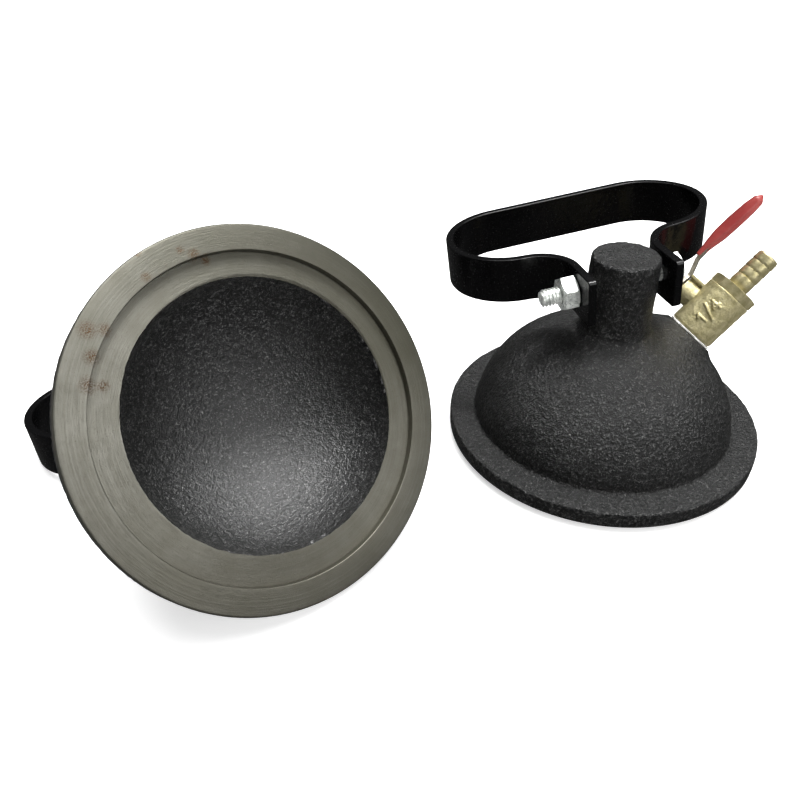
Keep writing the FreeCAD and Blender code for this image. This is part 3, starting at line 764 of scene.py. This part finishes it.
# %% Rough skin
SKIN = ((0.10, 0.10), (0.40, 0.11), (1.05, 0.10))
BOSS_END_GRAIN, BOSS_END_LUMP = 0.6, 0.22


def roughen(bm, is_skin):
    """Push the cast skin in and out along its normals, and leave machined faces flat."""
    bm.normal_update()
    for vert in bm.verts:
        share = is_skin(vert.co)
        if share > 0:
            height = unevenness(vert.co, SKIN)
            at_end = between(vert.co.z, BOSS_TOP - 1.2, BOSS_TOP - 0.2)
            height += at_end * noise.noise(vert.co * BOSS_END_GRAIN) * BOSS_END_LUMP
            vert.co += vert.normal * height * share


print("skin moves a point by up to", round(sum(depth for scale, depth in SKIN), 2), "mm")

# %% [markdown]
# Hemisphere A, the open one
# Its joint face is turned in two steps: a raised outer ring and a recess inside it. The bowl was
# cast a little off the lathe's centre, so the recess is wider on one side than on the other, and
# where the cut broke through the rough casting the mouth edge wanders by a tenth or two.

# %% Build hemisphere A
MOUTH_OFF = Vector((0.98, -0.94, 0.0))
MOUTH_RAG, MOUTH_DEPTH, MOUTH_FADE = 0.16, 0.6, 1.2
RAG = ((16, 1.0), (48, 0.9))
RECESS_EASE = 0.15


def off_centre(bm):
    """Shift the cast bowl off the lathe's centre and let its cut edge wander."""
    for vert in bm.verts:
        if in_bowl(vert.co):
            at_mouth = 1 - between(vert.co.z, BOWL_BASE, BOWL_BASE + MOUTH_DEPTH)
            jag = unevenness(vert.co.normalized(), RAG)
            vert.co.xy *= 1 + at_mouth * MOUTH_RAG * jag / BOWL_R
            vert.co += MOUTH_OFF


def skin_share_a(co):
    """How much of the sand's roughness a point takes: none on the turned face and its edge."""
    if math.hypot(co.x, co.y) < RECESS_R + 0.2:
        return between(co.z, BOWL_BASE, BOWL_BASE + MOUTH_FADE)
    edge = FLANGE_ROUND + 0.3
    return between(co.z, edge, edge + 1.0)


def casting_a():
    steps = [(BOWL_R + share * (RECESS_R - BOWL_R), BOWL_BASE) for share in (0.04, 0.5, 1)]
    corner = [(RECESS_R, RECESS_EASE), (RECESS_R + RECESS_EASE, 0.0)]
    bm = spun(bowl_outline(BOWL_BASE) + steps + corner + dome_outline(), SPIN_STEPS)
    roughen(bm, skin_share_a)
    off_centre(bm)
    bore = moved(post(BORE_R, -BORE_REACH, BORE_REACH), Matrix.Translation((0, 0, BOLT_H)) @ Z_TO_X)
    return combine(bm, bore)


def is_turned(co):
    """Whether a point of the casting lies on the face that the lathe cut."""
    return co.z < BOWL_BASE + 0.02 and math.hypot(co.x, co.y) > BOWL_R - 1.9


hemisphere_a = hand_over(casting_a(), "casting_a", CASTING_PLACE["a"], PAINT["a"],
                         "hemisphere_a_body", "hemisphere_a")
hemisphere_a.data.materials.append(TURNED)
LOCAL_A = CASTING_PLACE["a"].inverted()
for polygon in hemisphere_a.data.polygons:
    if is_turned(LOCAL_A @ (polygon.center / MM)):
        polygon.material_index = 1

# %% [markdown]
# Hemisphere B, the one with the valve
# The same casting with a raised ring that fits the recess of the other half. Its bolt hole was
# drilled a few degrees off square, and the pattern had a low pad near the shoulder where the
# valve screws in. The pad is a flat-topped cone, blended into the dome as a moulder's fillet is.
# The logarithm of one plus an exponential is what rounds the corner between the two.

# %% Build hemisphere B
PAD_TOP, PAD_R, PAD_DEPTH, PAD_FOOT_R, PAD_BLEND = 1.6, 10.2, 8.6, 24.0, 0.5
PAD_REACH_R, PAD_REACH_LOW = PAD_FOOT_R + 6, -14
PORT_LOW, PORT_HIGH = -18, 12
STRAIGHT_FROM = 20
VALVE_IN_B = CASTING_PLACE["b"].inverted() @ VALVE_PLACE


def raise_pad(bm):
    """Lift the dome's outer skin round the valve to the pad's own height."""
    to_valve = VALVE_IN_B.inverted()
    slope = (PAD_TOP + PAD_DEPTH) / (PAD_FOOT_R - PAD_R)
    for vert in bm.verts:
        at = to_valve @ vert.co
        radius = math.hypot(at.x, at.y)
        if radius < PAD_REACH_R and at.z > PAD_REACH_LOW and not in_bowl(vert.co):
            level = PAD_TOP - max(0.0, radius - PAD_R) * slope
            gap = (level - at.z) / PAD_BLEND
            lift = PAD_BLEND * (gap if gap > STRAIGHT_FROM else math.log(1 + math.exp(gap)))
            vert.co = VALVE_IN_B @ (at + Vector((0, 0, min(lift, max(0.0, PAD_TOP - at.z)))))


def casting_b():
    outline = bowl_outline(-SPIGOT_H) + [(SPIGOT_R, -SPIGOT_H), (SPIGOT_R, 0.0)]
    bm = spun(outline + dome_outline(), SPIN_STEPS)
    raise_pad(bm)
    roughen(bm, lambda co: between(co.z, FLANGE_ROUND, FLANGE_ROUND + 1.0))
    along_bolt = CASTING_PLACE["b"].inverted() @ HANDLE_PLACE["b"] @ Z_TO_X
    bore = moved(post(BORE_R, -BORE_REACH, BORE_REACH), along_bolt)
    port = moved(post(PORT_R, PORT_LOW, PORT_HIGH), VALVE_IN_B)
    return combine(bm, joined(bore, port))


hemisphere_b = hand_over(casting_b(), "casting_b", CASTING_PLACE["b"], PAINT["b"],
                         "hemisphere_b_body", "hemisphere_b")

# %% [markdown]
# The bar handles
# A smith bends such a handle from one length of flat bar, so it is made the same way here: a
# rectangle for the section, drawn straight along the tab, spun round each bend and drawn along
# the straights. Half is made and mirrored, the tabs are drilled, and every long edge is eased.

# %% Build the handles
BAR_W, BAR_T = 17.5, 3.0
TAB_S, TAB_END, TAB_BEND, TAB_CORNER, TAB_HOLE_R = 15.8, -11.8, 3.4, 1.2, 3.3
DRILL_REACH = 30
NECK_R, NECK_TURN, NECK_RUN, LOOP_R = 14.2, 84.6, 1.2, 23.24
EDGE_EASE = 0.4


def draw_out(bm, ring, run):
    """Pull the open end of the bar straight out."""
    made = bmesh.ops.extrude_edge_only(bm, edges=ring)["geom"]
    bmesh.ops.translate(bm, verts=[g for g in made if isinstance(g, bmesh.types.BMVert)], vec=run)
    return [g for g in made if isinstance(g, bmesh.types.BMEdge) and all(v in made for v in g.verts)]


def bend_round(bm, ring, centre, angle, steps):
    """Carry the open end of the bar round a bend."""
    made = bmesh.ops.spin(bm, geom=ring + list({v for e in ring for v in e.verts}), cent=centre,
                          axis=(0, 0, 1), angle=math.radians(angle), steps=steps)["geom_last"]
    return [g for g in made if isinstance(g, bmesh.types.BMEdge)]


def half_bar():
    bm = bmesh.new()
    sides = ((-1, -1), (1, -1), (1, 1), (-1, 1))
    verts = [bm.verts.new((TAB_S + s * BAR_T / 2, TAB_END, w * BAR_W / 2)) for s, w in sides]
    ring = [bm.edges.new((verts[i - 1], verts[i])) for i in range(4)]
    ring = draw_out(bm, ring, (0, TAB_BEND - TAB_END, 0))
    ring = bend_round(bm, ring, (TAB_S + NECK_R, TAB_BEND, 0), -NECK_TURN, 20)
    heading = math.radians(90 - NECK_TURN)
    out = Vector((math.cos(heading), math.sin(heading), 0))
    ring = draw_out(bm, ring, out * NECK_RUN)
    neck = Vector((TAB_S + NECK_R, TAB_BEND, 0)) + out * NECK_RUN
    loop = neck + Vector((-out.y, out.x, 0)) * (NECK_R + LOOP_R)
    ring = bend_round(bm, ring, loop, 180 - math.degrees(heading), 48)
    middle = sum((e.verts[0].co for e in ring), Vector()) / len(ring)
    draw_out(bm, ring, (-middle.x, 0, 0))
    return bm


def tab_corners(bm):
    """The edges through the bar's thickness at the ends of both tabs."""
    return [e for e in bm.edges if all(v.co.y < TAB_END + 0.01 for v in e.verts)
            and abs(e.verts[0].co.z - e.verts[1].co.z) < 0.01]


def bar_handle():
    bm = half_bar()
    bmesh.ops.mirror(bm, geom=bm.verts[:] + bm.edges[:] + bm.faces[:], axis="X", merge_dist=0.01)
    bmesh.ops.remove_doubles(bm, verts=bm.verts[:], dist=0.01)
    bmesh.ops.holes_fill(bm, edges=bm.edges[:], sides=4)
    bmesh.ops.recalc_face_normals(bm, faces=bm.faces[:])
    bmesh.ops.bevel(bm, geom=tab_corners(bm), affect="EDGES", offset=TAB_CORNER, segments=5,
                    profile=0.5, material=-1)
    return combine(bm, moved(post(TAB_HOLE_R, -DRILL_REACH, DRILL_REACH), Z_TO_X))


def ease_edges(piece, width, segments=2):
    """Live bevel on every sharp edge."""
    ease = piece.modifiers.new("eased_edges", "BEVEL")
    ease.width = width * MM
    ease.segments = segments
    ease.limit_method = "ANGLE"
    ease.angle_limit = SHARP
    ease.harden_normals = True


for letter in "ab":
    handle = hand_over(bar_handle(), "bar_handle_" + letter, HANDLE_PLACE[letter], ENAMEL,
                       "handle_" + letter + "_body", "handle_" + letter)
    ease_edges(handle, EDGE_EASE)

# %% [markdown]
# Pivot bolts and nuts
# A screw thread is a zigzag edge spun round its axis while it climbs one pitch a turn, so the
# end of the last turn meets the start of the next. Hexagon heads are turned to a cone at their
# corners: a six-sided prism and a turned disc are laid over each other and only what both share
# is kept.

# %% Build the bolts and the nuts
BOLT_R, BOLT_PITCH, THREAD_DEPTH = 3.175, 1.27, 0.6
HEX_AF, HEAD_T, NUT_T, BOLT_REST, THREAD_IN = 11.1, 4.0, 5.5, 7.2, 3.0
SEAT_S = TAB_S + BAR_T / 2 + 0.2
TIP = -(SEAT_S + NUT_T + BOLT_REST)
HEX_CREASE = math.radians(28)


def keep_between(bm, low, high):
    """Cut a shape square at two heights and close it."""
    for height, side in ((low, -1), (high, 1)):
        bmesh.ops.bisect_plane(bm, geom=bm.verts[:] + bm.edges[:] + bm.faces[:], plane_co=(0, 0, height),
                               plane_no=(0, 0, side), clear_outer=True)
    bmesh.ops.holes_fill(bm, edges=bm.edges[:], sides=0)
    bmesh.ops.recalc_face_normals(bm, faces=bm.faces[:])


def screw(radius, low, high, pitch, depth, steps=40):
    """Helical thread along Z, pointed a little at its low end."""
    bm = bmesh.new()
    crest, root = pitch * 0.10, pitch * 0.14
    tooth = [(radius - depth, root), (radius, pitch / 2 - crest),
             (radius, pitch / 2 + crest), (radius - depth, pitch - root)]
    turns = int((high - low) / pitch) + 4
    start = low - 2 * pitch
    verts = [bm.verts.new((r, 0, start + i * pitch + h)) for i in range(turns) for r, h in tooth]
    for one, two in zip(verts, verts[1:]):
        bm.edges.new((one, two))
    bmesh.ops.spin(bm, geom=bm.verts[:] + bm.edges[:], cent=(0, 0, 0), axis=(0, 0, 1), angle=2 * math.pi,
                   dvec=(0, 0, pitch / steps), steps=steps, use_merge=False)
    bmesh.ops.remove_doubles(bm, verts=bm.verts[:], dist=1e-3)
    keep_between(bm, low, high)
    for vert in bm.verts:
        vert.co.xy *= 1 - 0.2 * (1 - between(vert.co.z, low - 0.2, low + 0.9))
    return bm


def hexagon(across_flats, low, high, hole_r=0.0, ease=0.5):
    """Six-sided block with its corners turned to a cone at both ends."""
    corner = across_flats / math.sqrt(3)
    prism = moved(post(corner, low, high, 6), Matrix.Rotation(math.radians(30), 4, "Z"))
    face = across_flats / 2 - 0.15
    flank = [(face, low), (corner, low + ease), (corner, high - ease), (face, high)]
    outline = [(0, low)] + flank + [(0, high)]
    if hole_r:
        mouth_r = hole_r + ease
        outline = [(hole_r, low + ease), (mouth_r, low)] + flank + [(mouth_r, high), (hole_r, high - ease)]
    return combine(prism, spun(outline, 60, shut=hole_r > 0), "INTERSECT")


def pivot_bolt():
    thread = screw(BOLT_R, TIP, THREAD_IN - SEAT_S, BOLT_PITCH, THREAD_DEPTH)
    shank = post(BOLT_R, THREAD_IN - SEAT_S - 0.3, SEAT_S + 0.5)
    return moved(joined(thread, shank, hexagon(HEX_AF, SEAT_S, SEAT_S + HEAD_T)), Z_TO_X)


def pivot_nut():
    return moved(hexagon(HEX_AF, -SEAT_S - NUT_T, -SEAT_S, hole_r=BOLT_R - 0.25), Z_TO_X)


for letter in "ab":
    for shape, name in ((pivot_bolt(), "pivot_bolt_"), (pivot_nut(), "pivot_nut_")):
        part = hand_over(shape, "zinc_" + name + letter, HANDLE_PLACE[letter], ZINC,
                         "handle_" + letter + "_body", name + letter, crease=HEX_CREASE)

# %% [markdown]
# The valve body
# Barrel, bonnet, the small fin that stops the lever and the raised size figures come out of one
# mould, so their corners run into each other softly. The fin stands on a narrow web beside the
# bonnet. Simple shut shapes are laid over each other and a voxel remesh welds them into one skin,
# which two rounds of smoothing then make look poured. The bores are cut afterwards, so they stay
# crisp.

# %% Build the valve body
BODY_R, BODY_FROM, BODY_TO, BODY_ROUND = 9.0, 2.6, 21.5, 0.9
BONNET_R, BONNET_TOP = 4.5, 14.2
SHANK_R, SHANK_END = 6.0, -7.4
FIN_FROM, FIN_OUT, FIN_T, FIN_W, WEB_W = 6.0, 5.1, 1.3, 5.0, 2.0
FIGURE_H, FIGURE_PEN, FIGURE_RAISE, FIGURE_GAP = 3.8, 0.72, 0.55, 3.1
SERIF, SLASH_H, SLASH_LEAN = 0.9, 6.2, 22.0
FOUR_UPRIGHT, FOUR_LEFT, FOUR_RIGHT, FOUR_BAR = 0.6, -1.3, 1.4, -0.7
WAY_R, ROOM_R, ROOM_FROM = 2.2, 6.4, 5.6
STEM_WAY_R, STEM_WAY_FROM, STEM_WAY_TO = 2.05, 3.0, 17
VOXEL, SMOOTH_ROUNDS = 0.2, 2
POURED = ((0.5, 0.10), (1.6, 0.05))
TO_STEM = Matrix.Translation((0, 0, STEM_LEVEL))


def brick(size, centre):
    bm = bmesh.new()
    bmesh.ops.create_cube(bm, size=1.0, matrix=Matrix.Translation(centre) @ Matrix.Diagonal((*size, 1)))
    return bm


def pen_stroke(start, end):
    """Straight stroke between two (along, up) points, bent round the barrel on its +Y side."""
    run = Vector((end[1] - start[1], 0, end[0] - start[0]))
    bm = brick((FIGURE_PEN, 2.0, run.length + FIGURE_PEN), (0, 0, 0))
    bmesh.ops.subdivide_edges(bm, edges=bm.edges[:], cuts=7, use_grid_fill=True)
    turn = Matrix.Rotation(math.atan2(run.x, run.z), 4, "Y")
    middle = Vector(((start[1] + end[1]) / 2, BODY_R + FIGURE_RAISE - 1.0, (start[0] + end[0]) / 2))
    bm.transform(TO_STEM @ Matrix.Translation(middle) @ turn)
    for vert in bm.verts:
        vert.co.y -= BODY_R - math.sqrt(BODY_R ** 2 - vert.co.x ** 2)
    return bm


def size_figures():
    """The figures 1 / 4, read along the flow."""
    half, lean = FIGURE_H / 2, SLASH_H / 2 * math.tan(math.radians(SLASH_LEAN))
    top = (-FIGURE_GAP, half)
    one = [((-FIGURE_GAP, -half), top), ((-FIGURE_GAP - SERIF, half - SERIF), top)]
    slash = [((-lean, -SLASH_H / 2), (lean, SLASH_H / 2))]
    upright, corner = FIGURE_GAP + FOUR_UPRIGHT, (FIGURE_GAP + FOUR_LEFT, FOUR_BAR)
    four = [((upright, -half), (upright, half)), (corner, (FIGURE_GAP + FOUR_RIGHT, FOUR_BAR)),
            (corner, (upright, half))]
    return [pen_stroke(*stroke) for stroke in one + slash + four]


def valve_shapes():
    """The shut shapes that one mould joins."""
    rim = arc(BODY_R - BODY_ROUND, BODY_FROM + BODY_ROUND, BODY_ROUND, -90, 0, 5)
    barrel = spun([(0, BODY_FROM)] + rim + [(BODY_R, BODY_TO), (0, BODY_TO)], 96)
    bonnet = moved(post(BONNET_R, 0, BONNET_TOP), TO_STEM @ Z_TO_X)
    low, high = FIN_FROM, BONNET_TOP + 0.6
    middle = (low + high) / 2
    fin = moved(brick((high - low, FIN_W, FIN_T), (middle, 0, FIN_OUT + FIN_T / 2)), TO_STEM)
    web = moved(brick((high - low - 0.8, WEB_W, FIN_OUT), (middle, 0, FIN_OUT / 2 + 0.2)), TO_STEM)
    return joined(barrel, bonnet, fin, web, post(SHANK_R, SHANK_END, BODY_FROM + 1), *size_figures())


def valve_body():
    weld = {"mode": "VOXEL", "voxel_size": VOXEL, "adaptivity": 0.0}
    whole = through_modifier(valve_shapes(), "REMESH", weld)
    for _ in range(SMOOTH_ROUNDS):
        bmesh.ops.smooth_vert(whole, verts=whole.verts[:], factor=0.5,
                              use_axis_x=True, use_axis_y=True, use_axis_z=True)
    whole.normal_update()
    for vert in whole.verts:
        vert.co += vert.normal * unevenness(vert.co, POURED)
    way = spun([(0, -9), (WAY_R, -9), (WAY_R, ROOM_FROM), (ROOM_R, ROOM_FROM), (ROOM_R, 23), (0, 23)], 64)
    stem_way = moved(post(STEM_WAY_R, STEM_WAY_FROM, STEM_WAY_TO), TO_STEM @ Z_TO_X)
    return combine(whole, joined(way, stem_way))


valve = hand_over(valve_body(), "valve_casting", VALVE_PLACE, CAST_BRASS, "hemisphere_b_body", "valve_body")

# %% [markdown]
# Thread tape
# Tape wound on the shank is squeezed out from under the body as the valve is screwed down. It is
# spun as a thin ring, and its lip is pulled in and out so that it looks torn.

# %% Build the tape
TAPE_IN_R, TAPE_R, LIP_R = 6.05, 6.6, 9.1
TAPE_LOW, TAPE_TOP = -6.4, BODY_FROM - 0.05
TEARS, TEAR_DEPTH, CURL = ((0.45, 1.0), (1.4, 0.7)), 0.55, 0.18


def thread_tape():
    wall = [(TAPE_IN_R, TAPE_LOW), (TAPE_R, TAPE_LOW), (TAPE_R, PAD_TOP)]
    lip = [(LIP_R - 0.6, PAD_TOP), (LIP_R, PAD_TOP + 0.3), (LIP_R, PAD_TOP + 0.7), (LIP_R - 0.5, TAPE_TOP)]
    bm = spun(wall + lip + [(TAPE_IN_R, TAPE_TOP)], 160, shut=True)
    for vert in bm.verts:
        radius = math.hypot(vert.co.x, vert.co.y)
        if radius > TAPE_R + 0.1:
            vert.co.xy *= 1 + TEAR_DEPTH * unevenness(vert.co, TEARS) / radius
            vert.co.z += CURL * noise.noise(vert.co * 1.1)
    return bm


tape = hand_over(thread_tape(), "wound_tape", VALVE_PLACE, TAPE, "hemisphere_b_body", "thread_tape")

# %% [markdown]
# Hose barb
# The tail is turned with four low ribs that let a hose slide on and not off. It has a hexagon
# collar for the spanner, which is pulled up hard against the body.

# %% Build the hose barb
COLLAR_AF, COLLAR_FROM, COLLAR_TO = 15.8, 21.4, 25.2
TAIL_R, TAIL_FROM = 6.35, 18.6
RIB_ROOT_R, RIB_CREST_R, RIB_FIRST, RIB_STEP, RIB_COUNT = 4.05, 4.25, 26.6, 3.45, 4
RIB_W, RIB_FOOT, RIB_END, TIP_ROUND = 0.8, 0.9, 0.25, 0.7


def hose_tail():
    neck_r, shoulder = RIB_CREST_R - 0.1, COLLAR_TO - 1.0
    outline = [(WAY_R, TAIL_FROM), (TAIL_R, TAIL_FROM), (TAIL_R, shoulder), (neck_r, shoulder),
               (neck_r, RIB_FIRST - 0.3)]
    for i in range(RIB_COUNT):
        low = RIB_FIRST + i * RIB_STEP
        outline += [(RIB_CREST_R, low), (RIB_CREST_R, low + RIB_W),
                    (RIB_ROOT_R + 0.12, low + RIB_STEP - RIB_FOOT), (RIB_ROOT_R, low + RIB_STEP - RIB_END)]
    tip = RIB_FIRST + RIB_COUNT * RIB_STEP
    outline[-1] = (RIB_ROOT_R, tip - 1.0)
    outline += arc(RIB_ROOT_R - TIP_ROUND, tip - TIP_ROUND, TIP_ROUND, 0, 90, 4)
    return spun(outline + [(WAY_R + 0.25, tip), (WAY_R, tip - 0.3)], 72, shut=True)


collar = hexagon(COLLAR_AF, COLLAR_FROM, COLLAR_TO, hole_r=WAY_R + 1, ease=0.35)
barb = hand_over(joined(hose_tail(), collar), "hose_tail", VALVE_PLACE, TURNED_BRASS,
                 "hemisphere_b_body", "hose_barb")

# %% [markdown]
# Lever plate and its nut
# The lever is a pressed strip: a round eye under the nut, a narrow neck that steps up, and a
# shallow arch. A flat grid is bent to that line, drawn in to that width and thickened. Its rows
# lie closer where the eye is round.

# %% Build the lever
LEVER_T, LEVER_SEAT, HUB_R = 1.4, 15.6, 5.0
EYE_SHARE, EYE_TURN, STRIP_FROM, STRIP_RUN = 0.3, 0.742, 3.45, 37.65
LEVER_NUT_AF, LEVER_NUT_T = 7.0, 2.4
LEVER_LINE = [(-5.0, 0.0), (4.6, 0.0), (6.2, 0.15), (11.2, 2.25), (12.8, 2.5), (18.5, 2.6),
              (30.0, 2.2), (41.1, 1.6)]
LEVER_WIDTH = [(3.4, 3.2), (5.1, 2.3), (12.0, 2.2), (14.0, 2.5), (39.5, 2.5), (41.1, 2.0)]


def lever_row(share):
    """Place along the lever and half width of a row of the grid: first the eye, then the strip."""
    if share < EYE_SHARE:
        along = -HUB_R * math.cos(math.pi * share / EYE_SHARE * EYE_TURN)
        return along, math.sqrt(max(0.01, HUB_R ** 2 - along ** 2))
    along = STRIP_FROM + (share - EYE_SHARE) / (1 - EYE_SHARE) * STRIP_RUN
    return along, read_line(LEVER_WIDTH, along)


def lever_plate():
    bm = bmesh.new()
    bmesh.ops.create_grid(bm, x_segments=1, y_segments=92, size=1.0)
    for vert in bm.verts:
        along, half = lever_row((vert.co.y + 1) / 2)
        level = LEVER_SEAT + read_line(LEVER_LINE, along)
        vert.co = Vector((level, math.copysign(half, vert.co.x), along))
    bmesh.ops.recalc_face_normals(bm, faces=bm.faces[:])
    plate = through_modifier(bm, "SOLIDIFY", {"thickness": LEVER_T, "offset": 0.0})
    bmesh.ops.recalc_face_normals(plate, faces=plate.faces[:])
    return moved(plate, TO_STEM)


lever = hand_over(lever_plate(), "lever_plate", VALVE_PLACE, PLATE_STEEL, "lever_body", "lever")
ease_edges(lever, 0.25)
NUT_FROM = LEVER_SEAT + LEVER_T / 2
small_nut = hexagon(LEVER_NUT_AF, NUT_FROM, NUT_FROM + LEVER_NUT_T, hole_r=STEM_WAY_R, ease=0.35)
lever_nut = hand_over(moved(small_nut, TO_STEM @ Z_TO_X), "lever_hexagon", VALVE_PLACE, ZINC,
                      "lever_body", "lever_nut", crease=HEX_CREASE)

# %% [markdown]
# The dipped sleeve
# A sleeve that is dipped has no edges: it is a soft leaf, thin where it starts on the neck and
# fullest about half way along. A ball gives that with no seam. Its rows are spread along the
# strip, and each is made as wide and as deep as the leaf is there, a little squarer than round.

# %% Build the sleeve
SLEEVE_FROM, SLEEVE_TO, SLEEVE_W, SLEEVE_T, SLEEVE_UP = 12.4, 42.5, 3.6, 2.6, 0.6
ROUND_START, ROUND_END, SQUARENESS = 0.012, 0.07, 2.6
LEAF_WIDE = [(0.0, 0.76), (0.10, 0.80), (0.25, 0.95), (0.45, 1.0), (0.7, 0.98), (0.9, 0.90), (1.0, 0.80)]
LEAF_DEEP = [(0.0, 0.44), (0.08, 0.48), (0.2, 0.72), (0.35, 0.98), (0.55, 1.04), (0.8, 0.97),
             (0.93, 0.76), (1.0, 0.52)]


def sleeve():
    bm = bmesh.new()
    bmesh.ops.create_uvsphere(bm, u_segments=40, v_segments=56, radius=1.0)
    for vert in bm.verts:
        share = min(1.0, max(0.0, (1 + vert.co.z) / 2))
        ring = math.hypot(vert.co.x, vert.co.y)
        way_x, way_y = (vert.co.x / ring, vert.co.y / ring) if ring > 1e-6 else (0.0, 0.0)
        ends = min(1.0, share / ROUND_START) ** 0.5 * min(1.0, (1 - share) / ROUND_END) ** 0.5
        along = SLEEVE_FROM + share * (SLEEVE_TO - SLEEVE_FROM)
        wide = SLEEVE_W * read_line(LEAF_WIDE, share) * ends
        deep = SLEEVE_T * read_line(LEAF_DEEP, share) * ends
        power = abs(way_x) ** SQUARENESS + abs(way_y) ** SQUARENESS
        square = power ** (-1 / SQUARENESS) if ring > 1e-6 else 0.0
        level = LEVER_SEAT + read_line(LEVER_LINE, along) + SLEEVE_UP
        vert.co = Vector((level + way_x * square * deep, way_y * square * wide, along))
    bmesh.ops.remove_doubles(bm, verts=bm.verts[:], dist=0.01)
    bmesh.ops.recalc_face_normals(bm, faces=bm.faces[:])
    return moved(bm, TO_STEM)


dip = hand_over(sleeve(), "dipped_sleeve", VALVE_PLACE, VINYL, "lever_body", "lever_sleeve",
                crease=math.radians(70))
